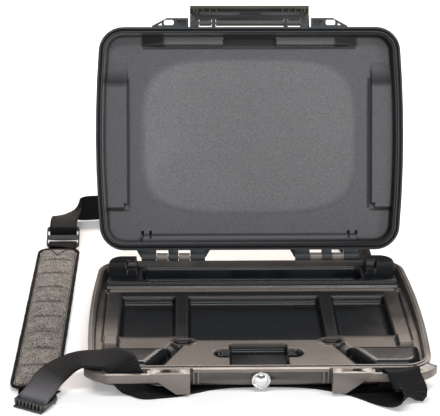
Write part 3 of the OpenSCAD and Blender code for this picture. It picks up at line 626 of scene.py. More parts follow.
def streak(place: Field, middle: float, half: float) -> Field:
    """A soft line: 1 on its middle, falling to 0 at its half width."""
    return clipped(1 - np.abs(place - middle) / half)


def pressed_wall(depth: Field) -> Field:
    """Share of the drop behind a pocket's edge: small round, steep wall, wide round at the foot."""
    return np.interp(depth, (0, 0.5, 1.1, 1.8, 2.6, 3.5, 4.6, 6.4, 8.0),
                     (0, 0.05, 0.18, 0.45, 0.72, 0.86, 0.945, 0.99, 1))


def ledge_wall(beyond: Field) -> Field:
    """Share of the rise at the rear ledge's front: wide round at the foot, leaning wall, round rim."""
    return np.interp(beyond, (-4.4, -3.4, -2.2, 1.0, 2.0, 3.0, 4.0, 5.5),
                     (0, 0.02, 0.09, 0.42, 0.62, 0.88, 0.97, 1))


@dataclass(frozen=True)
class Block:
    """A box with round corners, seen from above, in millimetres.

    Attributes:
        low: its corner with the smaller x and y.
        high: its opposite corner.
        radius: radius of its corners.
    """

    low: Pair
    high: Pair
    radius: float

    def depth(self, x: Field, y: Field) -> Field:
        """How deep points lie inside the box.

        Args:
            x: their places along the width.
            y: their places along the depth.

        Returns:
            Depths, below 0 outside it.
        """
        half = ((self.high[0] - self.low[0]) / 2, (self.high[1] - self.low[1]) / 2)
        dx = np.abs(x - (self.low[0] + self.high[0]) / 2) - half[0] + self.radius
        dy = np.abs(y - (self.low[1] + self.high[1]) / 2) - half[1] + self.radius
        outside = np.hypot(np.clip(dx, 0, None), np.clip(dy, 0, None)) + np.minimum(np.maximum(dx, dy), 0)
        return self.radius - outside


@dataclass(frozen=True)
class Bar:
    """A bar with round ends, seen from above, in millimetres.

    Attributes:
        start: centre of one end.
        end: centre of the other end.
        radius: half its width.
    """

    start: Pair
    end: Pair
    radius: float

    def depth(self, x: Field, y: Field) -> Field:
        """How deep points lie inside the bar.

        Args:
            x: their places along the width.
            y: their places along the depth.

        Returns:
            Depths, below 0 outside it.
        """
        ax, ay = self.end[0] - self.start[0], self.end[1] - self.start[1]
        along = clipped(((x - self.start[0]) * ax + (y - self.start[1]) * ay) / (ax * ax + ay * ay))
        return self.radius - np.hypot(x - self.start[0] - along * ax, y - self.start[1] - along * ay)


@dataclass
class PressedSheet:
    """A liner pressed from one sheet: a grid that fills the outline, raised by a height rule.

    Attributes:
        name: the piece's name.
        inset: how far its edge lies inside the case's outline, in millimetres.
        spacing: distance of the grid's lines.
        height: gives the height in millimetres at each point.
        skirt: steps of (inward move, height) that close the form below or behind it.
        fine: bands along Y whose rows lie closer together.
        tones: gives the painted light and shade at each point, from -1 dark to 1 pale.
    """

    name: str
    inset: float
    spacing: float
    height: Callable[[Field, Field], Field]
    skirt: Sequence[Pair]
    fine: Sequence[Pair]
    tones: Callable[[Field, Field], Field]

    def _rows(self) -> Field:
        """Places of the rows along Y: close where the corners turn and where walls run across.

        Returns:
            The places in millimetres, from the front to the rear.
        """
        radius = CASE.corner - self.inset
        turns = np.radians(np.linspace(90, 0, 30))
        corner = CASE.turn_y + radius * np.sin(turns)
        count = int(2 * CASE.turn_y / self.spacing)
        middle = np.linspace(CASE.turn_y, -CASE.turn_y, count)[1:-1]
        clear = 0.3
        for low, high in self.fine:
            fresh = np.arange(low, min(high, CASE.turn_y - 0.5), self.spacing * 0.4)
            middle = np.concatenate([middle[(middle < low - clear) | (middle > high + clear)], fresh])
        middle = np.sort(middle)[::-1]
        return np.concatenate([corner, middle, -corner[::-1]])[::-1]

    def _columns(self, half: Field) -> Field:
        """Places of the columns along X: fixed inside, stretched to the edge outside.

        Args:
            half: half the width at each row.

        Returns:
            One row of places for each row of the grid.
        """
        fixed = CASE.turn_x - 1.4
        inner = np.linspace(-fixed, fixed, int(2 * fixed / self.spacing))
        outer_count = int((CASE.width / 2 - self.inset - fixed) / (self.spacing * 0.8))
        shares = np.linspace(0, 1, outer_count + 1)[1:]
        rows = []
        for edge in half:
            outer = fixed + (edge - fixed) * shares
            rows.append(np.concatenate([-outer[::-1], inner, outer]))
        return np.array(rows)

    def build(self, placing: Matrix) -> bpy.types.Mesh:
        """Makes the closed mesh.

        Args:
            placing: how the closed case's frame is turned to the frame at rest.

        Returns:
            The liner's mesh in metres.
        """
        rows = self._rows()
        columns = self._columns(CASE.half_width(rows, self.inset))
        ny, nx = columns.shape
        shape = bmesh.new()
        bmesh.ops.create_grid(shape, x_segments=nx - 1, y_segments=ny - 1, size=1)
        y = np.repeat(rows[:, None], nx, axis=1)
        z = self.height(columns, y)
        pale = shape.verts.layers.float.new("pale")
        tones = self.tones(columns, y)
        for vert in shape.verts:
            i = round((vert.co.x + 1) / 2 * (nx - 1))
            j = round((vert.co.y + 1) / 2 * (ny - 1))
            vert.co = (columns[j, i] * MM, y[j, i] * MM, z[j, i] * MM)
            vert[pale] = tones[j, i]
        border = [edge for edge in shape.edges if edge.is_boundary]
        for inward, level in self.skirt:
            made = bmesh.ops.extrude_edge_only(shape, edges=border)["geom"]
            border = new_edges(made)
            for vert in new_verts(made):
                length = vert.co.xy.length
                vert.co.xy *= (length - inward * MM) / length
                vert.co.z = level * MM
        bmesh.ops.holes_fill(shape, edges=border)
        bmesh.ops.recalc_face_normals(shape, faces=shape.faces)
        bmesh.ops.triangulate(shape, faces=[face for face in shape.faces if len(face.verts) > 4])
        shape.transform(placing)
        return mesh_of(self.name, shape)


@dataclass
class Tray:
    """Base tray: shelf, pockets, rear trough, towers and bumpers, in millimetres.

    The right half is told, and the left half mirrors it, except for what lies on the middle.

    Attributes:
        inset: how far its edge lies inside the case's outline.
        raised: how far its raised parts do.
        spacing: distance of its points.
        shelf: height of the shelf.
        floor: height of the pockets' floor.
        ledge: height of the rear ledge.
        ledge_y: place of the ledge's front.
        trough_floor: height of the floor of the rear trough.
        tower_top: height of the rear towers.
        tower_cut: depth of the cuts in them.
        bumper_top: height of the front bumpers.
        bumper_y: their rear side.
        bumper_round: radius of their upper edge.
        block_top: height of the blocks at the ends of the pockets.
        ring_top: height of the ring bosses.
        hole_deep: depth of the holes in them, below the shelf.
        notch_deep: depth of the finger notches.
        groove_deep: depth of the diagonal grooves.
        line_deep: depth of the side lines.
        side_x: inner and outer side of the side pockets.
        rear_y: rear side of all three pockets.
        middle_half: half the width of the middle pocket.
        towers: inner and front side of the towers.
        trough, recess, notch, ring, hole, groove, cut, end_block, side_line: their outlines from above.
        skirt: steps of (inward move, height) that close the sheet below.
    """

    inset: float = 8.4
    raised: float = 12.0
    spacing: float = 1.35
    shelf: float = 19.5
    floor: float = 8.5
    ledge: float = 28.0
    ledge_y: float = 82.5
    trough_floor: float = 10.5
    tower_top: float = 43.5
    tower_cut: float = 8.0
    bumper_top: float = 29.0
    bumper_y: float = -86.0
    bumper_round: float = 10.0
    block_top: float = 26.0
    ring_top: float = 20.6
    hole_deep: float = 9.0
    notch_deep: float = 8.0
    groove_deep: float = 3.0
    line_deep: float = 1.6
    side_x: Pair = (95.5, 163.5)
    rear_y: float = 62.0
    middle_half: float = 82.0
    towers: Pair = (144.0, 104.0)
    trough: Block = Block((-140, 89.5), (140, 130), 9)
    recess: Block = Block((-34, -117.5), (34, -65.5), 3)
    notch: Bar = Bar((30, -88.5), (41, -88.5), 11)
    ring: Bar = Bar((82, -61), (92, -61), 11.5)
    hole: Bar = Bar((82, -61), (92, -61), 6.6)
    groove: Bar = Bar((93, -64), (120, -120), 8.6)
    cut: Block = Block((143, 103), (159, 117), 1.5)
    end_block: Block = Block((161, -78), (181, -53), 4)
    side_line: Block = Block((180.8, -59), (183.4, 71), 1.2)
    skirt: Sequence[Pair] = ((2.0, 12.2), (6.0, 6.3))

    def height(self, x: Field, y: Field) -> Field:
        """Height of the tray's upper face.

        Args:
            x: places along the width.
            y: places along the depth.

        Returns:
            The height at each place.
        """
        z = np.full(x.shape, self.shelf)
        raised = CASE.depth_inside(x, y, self.raised)
        z += (self.ledge - self.shelf) * np.minimum(ledge_wall(y - self.ledge_y), soft_step(raised, 2.4))
        z = self._pockets(x, y, z)
        z = self._front(x, y, z)
        z += (self.trough_floor - z) * soft_step(self.trough.depth(x, y), 5)
        z = self._raised_parts(np.abs(x), y, z, raised)
        return z - self.line_deep * soft_step(self.side_line.depth(np.abs(x), y), 1.0)

    def _pockets(self, x: Field, y: Field, z: Field) -> Field:
        """Sinks the three large pockets, whose front corners stop at the raised rings.

        Args:
            x: places along the width.
            y: places along the depth.
            z: heights so far.

        Returns:
            The heights with the pockets.
        """
        ax = np.abs(x)
        side = Block((self.side_x[0], -46), (self.side_x[1], self.rear_y), 5)
        middle = Block((-self.middle_half, -57), (self.middle_half, self.rear_y), 5)
        beside_ring = soft_step(-self.ring.depth(ax, y) - 0.2, 3.6)
        for depth in (side.depth(ax, y), middle.depth(x, y)):
            z = z + (self.floor - z) * np.minimum(pressed_wall(depth), beside_ring)
        return z

    def _front(self, x: Field, y: Field, z: Field) -> Field:
        """Shapes the front: ring bosses, diagonal grooves, the middle recess and its finger notches.

        Args:
            x: places along the width.
            y: places along the depth.
            z: heights so far.

        Returns:
            The heights with the front.
        """
        ax = np.abs(x)
        groove = np.sqrt(clipped(self.groove.depth(ax, y) / self.groove.radius))
        z = z - self.groove_deep * groove * soft_step(CASE.depth_inside(x, y, 13), 6)
        ring = self.ring.depth(ax, y)
        foot = self.shelf - 8
        boss = np.minimum(self.ring_top, foot + (self.ring_top - foot) * soft_step(ring, 2.2))
        z = np.maximum(z, boss * (ring > 0))
        z = z + (self.shelf - self.hole_deep - z) * soft_step(self.hole.depth(ax, y), 2.6)
        z = z + (self.floor + 1 - z) * soft_step(self.recess.depth(x, y), 2.4)
        notch = self.notch.depth(ax, y)
        return np.where(notch > 0, np.minimum(z, self.shelf - self.notch_deep * soft_step(notch, 2.4)), z)

    def _raised_parts(self, ax: Field, y: Field, z: Field, raised: Field) -> Field:
        """Raises the rear towers, the end blocks and the rounded front bumpers.

        Args:
            ax: distances from the middle.
            y: places along the depth.
            z: heights so far.
            raised: how deep the places lie inside the outline of the raised parts.

        Returns:
            The heights with them.
        """
        tower = np.minimum(np.minimum(ax - self.towers[0], y - self.towers[1]), raised)
        z = z + (self.tower_top - z) * soft_step(tower, 2.4)
        cut, low = self.cut.depth(ax, y), self.tower_top - self.tower_cut
        z = np.where(cut > 0, z + (low - z) * soft_step(cut, 1.6) * (z > low), z)
        block = np.minimum(self.end_block.depth(ax, y), raised + 2)
        rise = self.shelf + (self.block_top - self.shelf) * soft_step(block, 2.6)
        z = np.where(block > 0, np.maximum(z, rise), z)
        diagonal = ((ax - 114) * 0.86 + (y + 118) * 0.5) - 5
        bumper = np.minimum(np.minimum(self.bumper_y - y, diagonal), raised)
        crown = np.sqrt(clipped(1 - (1 - clipped(bumper / self.bumper_round)) ** 2))
        rise = self.shelf + (self.bumper_top - self.shelf) * 0.98 * crown
        return np.where(bumper > 0, np.maximum(z, rise), z)

    def tones(self, x: Field, y: Field) -> Field:
        """Painted light: sheen of the rear lamp on the shelf and its sides, highlights on the rims and at the
        feet of walls, and painted shade on the bumpers.

        Args:
            x: places along the width.
            y: places along the depth.

        Returns:
            Shares from -1, dark, to 1, pale.
        """
        ax = np.abs(x)
        height = self.height(x, y)
        level = clipped(1 - np.abs(height - self.shelf) / 1.2)
        beside = (ax > 165) & (y > -84) & (y < 76) & (height > self.shelf - 1)
        in_side = Block((self.side_x[0], 40), (self.side_x[1], 80), 5).depth(ax, y) > 0.5
        above_floor = (ax < 77) | ((ax > 100) & (ax < 159))
        bumpers = (y < -84) & (level <= 0)
        # painted sheen of the rear lamp on the shelf and its sides, painted highlights at the ledge's foot,
        # the pockets' rims and walls and the trough's rim; painted shade on the bumpers
        painted_light = np.maximum.reduce([
            0.68 * clipped((-47 - y) / 7) * level,  # the shelf in front
            0.8 * np.clip((10 - y) / 50, 0.12, 1) * beside,  # its sides, paler to the front
            clipped(1.35 - np.abs(y - self.ledge_y + 5.8) / 3.6) * (ax < 178),  # foot of the ledge
            0.45 * streak(y, 60.8, 0.8) * (in_side | (ax < 81)),  # rear rims of the pockets
            0.5 * streak(y, 57.2, 1.2) * above_floor,  # their rear walls
            0.4 * streak(y, 90.2, 0.7) * (ax < 138)])  # front rim of the trough
        return np.where(bumpers, -0.15, painted_light)

    def build(self) -> None:
        """Makes the tray on the base."""
        sheet = PressedSheet("base_tray", self.inset, self.spacing, self.height, self.skirt,
                             ((53, 63.5), (77.5, 92)), self.tones)
        finish_piece("base_tray", sheet.build(Matrix.Identity(4)), TRAY, "base", ("base_liner",), 75)


@dataclass
class LidLiner:
    """Lid liner in the closed case's frame, where the seen side looks down, in millimetres.

    Attributes:
        inset: how far its edge lies inside the case's outline.
        spacing: distance of its points.
        rim: height of its edge.
        face: height of its flat face; smaller is nearer the rim.
        rise: how far its pads and ridges stand proud of the face.
        dish: depth of the shallow hollow.
        dish_half: half the width and depth of the hollow.
        dish_shift: how far the hollow lies towards the latch.
        pad_x: inner side of the side pads.
        pad_y: their end beside the hinges.
        bump_y: the edge of the low ridge beside the latch.
        ridge_y: the edge of the ridge beside the hinges.
        slots: stretches of the square slots across that ridge.
        pad_step: outline of the step in each side pad's end.
        latch_notch: outline of the notch for the latch.
        skirt: steps of (inward move, height) that close the sheet behind.
    """

    inset: float = 7.6
    spacing: float = 1.3
    rim: float = 31.5
    face: float = 46.8
    rise: float = 6.0
    dish: float = 3.6
    dish_half: Pair = (141.0, 101.5)
    dish_shift: float = 3.5
    pad_x: float = 157.2
    pad_y: float = 91.5
    bump_y: float = -119.5
    ridge_y: float = 124.5
    slots: Sequence[Pair] = ((128, 131), (138, 141))
    pad_step: Block = Block((150, 84), (164, 100), 1)
    latch_notch: Block = Block((-35, -131), (35, -110), 3)
    skirt: Sequence[Pair] = ((0.3, 49.0), (1.5, 54.0))

    def _hollow(self, x: Field, y: Field) -> Field:
        """Share of the way from the hollow's middle to its edge, which is a squared oval."""
        across, along = np.abs(x) / self.dish_half[0], np.abs(y + self.dish_shift) / self.dish_half[1]
        return (across ** 4 + along ** 4) ** 0.25

    def height(self, x: Field, y: Field) -> Field:
        """Height of the liner's face; smaller is nearer the rim.

        Args:
            x: places along the width.
            y: places along the depth.

        Returns:
            The height at each place.
        """
        ax = np.abs(x)
        hollow = self._hollow(x, y)
        z = self.face + self.dish * (1 - clipped((hollow - 0.55) / 0.46) ** 2.2)
        z = np.where(hollow > 1.01, self.face, np.maximum(z, self.face))
        pad = np.minimum(soft_step(ax - self.pad_x, 2.6), soft_step(self.pad_y - y, 2.4))
        ramp = clipped((y + 97) / 27)
        z -= self.rise * pad * ramp * (1 - soft_step(self.pad_step.depth(ax, y), 1.2))
        bump = soft_step(self.bump_y - y, 2.6)
        z -= self.rise * bump * clipped((139 - ax) / 27)
        z += (self.rise - 1.2) * soft_step(self.latch_notch.depth(x, y), 1.8) * bump
        z -= self.rise * soft_step(y - self.ridge_y, 2.4) * soft_step(142 - ax, 2.2)
        for low, high in self.slots:
            z += (self.rise - 1) * soft_step(Block((low, 120), (high, 129.5), 0.8).depth(ax, y), 1.0)
        wall = CASE.depth_inside(x, y, self.inset)
        return self.rim + (z - self.rim) * soft_step(wall - 1.8, 2.8)

    def tones(self, x: Field, y: Field) -> Field:
        """Painted highlight in the hollow, strongest to the left, and painted shade and shadow on the ramps,
        beside the pads and round the rim.

        Args:
            x: places along the width.
            y: places along the depth.

        Returns:
            Shares from -1, dark, to 1, pale.
        """
        ax = np.abs(x)
        # painted highlight in the hollow, lighter towards the left
        pale = 0.62 * clipped((1.0 - self._hollow(x, y)) / 0.06) * (0.75 + 0.25 * clipped(-x / 141))
        along_pad = (y > -78) & (y < 91)
        ramp = clipped((y + 100) / 6) * clipped((-66 - y) / 8) * np.clip((y + 97) / 27, 0.25, 1)
        wall = clipped((7.2 - CASE.depth_inside(x, y, self.inset)) / 2.6)
        # painted shade on the walls and painted shadows cast by the pads and ridges
        shade = np.maximum.reduce([
            ramp * (ax > 158),  # the pads' ends beside the latch
            wall * (0.62 + 0.3 * np.clip(x / 150, -1, 1)),  # the wall at the rim
            0.85 * clipped((ax - 108) / 4) * clipped((142 - ax) / 4) * (y < -119),  # the low ridge's ends
            streak(x, 155.4, 2.9) * along_pad,  # foot of the right pad
            streak(x, -156.6, 1.6) * along_pad,  # foot of the left pad
            streak(y, 93, 1.9) * (ax > 157),  # the pads' ends beside the hinges
            streak(y, -117.6, 2.4) * (ax < 138),  # foot of the low ridge
            0.8 * streak(y, 124.3, 1.3) * (ax < 141),  # foot of the ridge beside the hinges
            0.85 * soft_step(np.minimum(35 - ax, -119 - y), 1.4)])  # the notch for the latch
        return np.where(shade > 0.05, -0.92 * shade, pale)

    def build(self, placing: Matrix) -> None:
        """Makes the liner on the lid.

        Args:
            placing: how the closed case's frame is turned to the open lid.
        """
        sheet = PressedSheet("lid_liner_sheet", self.inset, self.spacing, self.height, self.skirt,
                             (), self.tones)
        finish_piece("lid_liner_sheet", sheet.build(placing), LID_LINER, "lid", ("lid_liner",), 60)


@dataclass
class Hinging:
    """Where the lid turns, in millimetres, and how far it stands open.

    Attributes:
        axis_y: the axis's place along the depth.
        axis_z: its height.
        open_degrees: the lid's turn from closed to the photographed opening.
    """

    axis_y: float = 153.6
    axis_z: float = 30.0
    open_degrees: float = 109.5

    def placing(self) -> Matrix:
        """Turns the closed case's frame to the open lid."""
        centre = Matrix.Translation((0, self.axis_y * MM, self.axis_z * MM))
        return centre @ Matrix.Rotation(-math.radians(self.open_degrees), 4, "X") @ centre.inverted()


def smooth_route(stations: Sequence[Station], steps: int) -> Field:
    """Runs a smooth curve through stations of place, direction across and share of the width.

    Args:
        stations: seven numbers each.
        steps: curve points between two stations.

    Returns:
        One row of seven numbers for each curve point.
    """
    points = np.array(stations, float)
    last = len(points) - 1
    rows = []
    for i in range(last):
        a, b, c, d = (points[k] for k in (max(i - 1, 0), i, i + 1, min(i + 2, last)))
        for k in range(steps):
            t = k / steps
            rows.append(0.5 * (2 * b + (c - a) * t + (2 * a - 5 * b + 4 * c - d) * t ** 2
                               + (3 * b - a - 3 * c + d) * t ** 3))
    return np.array([*rows, points[last]])


@dataclass
class Buckle:
    """Place of one flat buckle, in millimetres, with stations told on it.

    Attributes:
        at: its centre.
        turn: turn about Z in degrees.
        tilt: turn about X in degrees.
        across: which way the webbing's across direction points.
    """

    at: Place
    turn: float
    tilt: float
    across: float

    def on(self, y: float, z: float, side: float = 1) -> Station:
        """A station on the buckle.

        Args:
            y: its place along the buckle, from the middle.
            z: its height over the middle.
            side: -1 turns the direction across round.

        Returns:
            Place, direction across and the full width.
        """
        across = self.across * side
        if self.tilt:
            a = math.radians(self.tilt)
            return (self.at[0], self.at[1] + y * math.cos(a) - z * math.sin(a),
                    self.at[2] + y * math.sin(a) + z * math.cos(a), across, 0, 0, 1)
        a = math.radians(self.turn)
        return (self.at[0] - y * math.sin(a), self.at[1] + y * math.cos(a), self.at[2] + z,
                across * math.cos(a), across * math.sin(a), 0, 1)

    def round_bar(self, bar: float, wrap: float, degrees: Sequence[float], side: float) -> list[Station]:
        """Stations at some angles round the bar that lies at y = bar, wrap away from its middle."""
        turns = [math.radians(angle) for angle in degrees]
        return [self.on(bar + wrap * math.cos(turn), wrap * math.sin(turn), side) for turn in turns]


LOCK = Buckle((-250, -169, 5.6), -28, 0, -1)
SLIDE = Buckle((-250, 258, 14), 0, 42, 1)


@dataclass
class Webbing:
    """The strap's webbing as a woven band, sizes in millimetres.

    Attributes:
        width: its full width.
        thick: its thickness, which also keeps it above the floor.
        columns: points across the band.
        steps: curve points between two stations.
        wrap: radius of its bend round a buckle's bar.
        polished: strength of the painted sheen on its loose end, beside the buckle.
        painted_sheen_at: how far from the end that is.
        painted_sheen_half: how far it reaches to both sides.
        fold: height of the folds where the band is squeezed.
        fold_rates: waves of the folds across and along the band, in radians.
    """

    width: float = 38
    thick: float = 1.5
    columns: int = 9
    steps: int = 6
    wrap: float = 4.5
    polished: float = 0.75
    painted_sheen_at: float = 16
    painted_sheen_half: float = 46
    fold: float = 1.6
    fold_rates: Pair = (22, 0.08)

    def long_route(self) -> list[Station]:
        """From the front buckle over the corner, through both bars, under and behind the base.

        A stop tells place and direction across, and its share of the width where the band is squeezed.

        Returns:
            The stations, with the full width where a stop tells none.
        """
        lock = [(-17, -4.4), (-10.5, -4.3), (-6.2, -2.4), (-5, 0.3), (-3.7, 3.2), (-0.5, 4.7), (10, 6.8)]
        slide = [(13, 4.6), (9, 3.6), (6, 0.4), (3, -3.2), (-2.5, -4)]
        loose = [
            (-235, -141, 19, -0.82, 0.55, 0.1), (-219, -127, 25, -0.55, 0.82, 0.06),
            (-200, -125, 31.8, -0.22, 0.97, 0), (-182, -129, 34.5, 0.12, 0.98, 0.1),
            (-166, -134.5, 37.2, 0.5, 0.78, 0.3), (-155.5, -143.5, 34.8, 0.82, 0.3, 0.49),
            (-152, -147.8, 27, 0.87, 0.02, 0.49), (-148, -148, 20, 0.87, 0, 0.49),
            (-144, -148.2, 14, 0.86, 0.05, 0.5, 0.9), (-139, -149.8, 10.3, 0.76, 0.26, 0.56, 0.66),
            (-128, -152.4, 5.8, 0.6, 0.74, 0.26, 0.58), (-113, -149.4, 2.9, 0.35, 0.93, 0.06, 0.56),
            (-96, -143, 1.3, 0.2, 0.98, 0, 0.74), (-79, -133.5, 1, 0.15, 0.99, 0, 0.88),
            (-60, -124, 1, 0.05, 1, 0, 0.98), (-30, -118, 1, 0, 1, 0), (20, -117, 1, 0, 1, 0),
            (60, -121, 1, 0.05, 1, 0), (90, -131, 1, 0.28, 0.96, 0), (114, -144, 1.1, 0.52, 0.85, 0),
            (138, -163, 2.2, 0.66, 0.75, 0.05), (155, -175, 6.9, 0.72, 0.69, 0.12),
            (165, -175, 15, 0.94, 0.33, 0.04), (160, -162.8, 26, 0.99, 0.05, -0.05),
            (156, -156, 31.4, 1, 0, 0), (153, -149.5, 28.5, 1, 0, 0.1), (152, -148, 20, 0.99, 0, 0.1),
            (150, -147.6, 10, 1, 0, 0.05), (149, -144, 3.4, 1, 0, 0), (148, -134, 1.1, 1, 0, 0),
            (147, -60, 1, 1, 0, 0), (147, 60, 1, 1, 0, 0), (147, 150, 1.4, 1, 0, 0),
            (147, 185, 4.8, 0.95, 0, 0.2), (142, 225, 13, 0.75, 0.1, 0.6), (124, 268, 18, 0.35, 0.25, 0.9),
            (80, 312, 19.3, 0.05, 0.05, 1), (10, 338, 19.4, 0, 0, 1), (-90, 348, 19.4, 0, 0, 1),
            (-170, 350, 19.4, 0, 0, 1), (-206, 349, 19.4, 0.1, 0, 1), (-228, 345, 19.6, 0.45, 0.1, 0.88),
            (-242, 335, 20, 0.83, 0, 0.55), (-247, 318, 22.5, 0.98, 0, 0.2), (-249, 298, 27, 1, 0, 0),
            (-250, 280, 29, 1, 0, 0)]
        return ([LOCK.on(*spot) for spot in lock] + [(*stop, 1)[:7] for stop in loose]
                + [SLIDE.on(*spot) for spot in slide])

    def pad_route(self) -> list[Station]:
        """Along the cushion's underside, with a loop round a bar at each end.

        Returns:
            The stations, all with the full width.
        """
        low = [(-251, -146, 1, -0.97, 0.22, 0, 1), (-254, -128, 0.9, -1, 0, 0, 1),
               (-254, 40, 0.9, -1, 0, 0, 1), (-254, 218, 0.9, -1, 0, 0, 1), (-253, 238, 0.9, -1, 0, 0, 1)]
        return ([LOCK.on(23, 3.4), LOCK.on(17, 4.6)]
                + LOCK.round_bar(10.5, self.wrap, (90, 135, 180, 225, 270), 1) + low
                + SLIDE.round_bar(-12, self.wrap, (-90, -45, 0, 45, 90), -1)
                + [(-251, 240.5, 6.6, -1, 0, 0, 1)])

    def length(self, route: Sequence[Station]) -> float:
        """Length along a route in metres."""
        places = smooth_route(route, self.steps)[:, :3]
        return float(np.linalg.norm(np.diff(places, axis=0), axis=1).sum() * MM)

    def _directions(self, rows: Field, k: int) -> tuple[Field, Field]:
        """Which way one row of the band lies.

        Args:
            rows: all rows of the route.
            k: number of the row.

        Returns:
            The directions across the band and out of its face.
        """
        ahead = rows[min(k + 1, len(rows) - 1), :3] - rows[max(k - 1, 0), :3]
        ahead = ahead / np.linalg.norm(ahead)
        side = rows[k, 3:6] / np.linalg.norm(rows[k, 3:6])
        side = side - ahead * side.dot(ahead)
        side = side / np.linalg.norm(side)
        return side, np.cross(ahead, side)

    def band(self, name: str, route: Sequence[Station], loose: bool) -> bpy.types.Mesh:
        """Extrudes a woven band, without thickness, along a route.

        Args:
            name: the mesh's name.
            route: stations of place, direction across and share of the width.
            loose: whether its first stretch is the loose end, which gets the painted sheen.

        Returns:
            The open band, with its weave map.
        """
        rows = smooth_route(route, self.steps)
        shape = bmesh.new()
        weave = shape.loops.layers.uv.new("weave")
        pale = shape.verts.layers.float.new("pale")
        shares = np.linspace(-0.5, 0.5, self.columns)
        line = [shape.verts.new((0, 0, share)) for share in shares]
        edges = [shape.edges.new(pair) for pair in zip(line, line[1:])]
        spots: dict[bmesh.types.BMVert, Pair] = {}
        run = 0.0
        across = Vector((0, 0, 1))
        for k, row in enumerate(rows):
            if k:
                run += float(np.linalg.norm(row[:3] - rows[k - 1, :3]))
                made = bmesh.ops.extrude_edge_only(shape, edges=edges)["geom"]
                edges = new_edges(made)
                line = sorted(new_verts(made), key=lambda vert, way=across: vert.co.dot(way))
            side, over = self._directions(rows, k)
            across, narrow = Vector(side), row[6]
            # painted sheen on the loose end, strongest a little way from it
            sheen_share = self.polished * max(0.0, 1 - abs(run - self.painted_sheen_at) / self.painted_sheen_half)
            for share, vert in zip(shares, line):
                wave = math.sin(share * self.fold_rates[0] + run * self.fold_rates[1])
                fold = (1 - narrow) * self.fold * wave
                spot = row[:3] + side * share * (self.width - self.thick) * narrow + over * fold
                spot[2] = max(spot[2], self.thick / 2)
                vert.co = Vector(spot * MM)
                spots[vert] = (run * MM, share * self.width * MM)
                vert[pale] = sheen_share if loose else 0.0
        for face in shape.faces:
            for loop in face.loops:
                loop[weave].uv = spots[loop.vert]
        return mesh_of(name, shape)

    def build(self) -> None:
        """Makes both lengths of webbing and thickens them."""
        for name, stands_for, route, loose in (
                ("strap_webbing_band", "strap_webbing", self.long_route(), True),
                ("cushion_webbing_band", "pad_webbing", self.pad_route(), False)):
            piece = finish_piece(name, self.band(name, route, loose), WEBBING, "base", (stands_for,), 60)
            body = piece.modifiers.new("thickness", "SOLIDIFY")
            body.thickness = self.thick * MM
            body.offset = 0
            LOG.info("%s is %.2f m long", name, self.length(route))


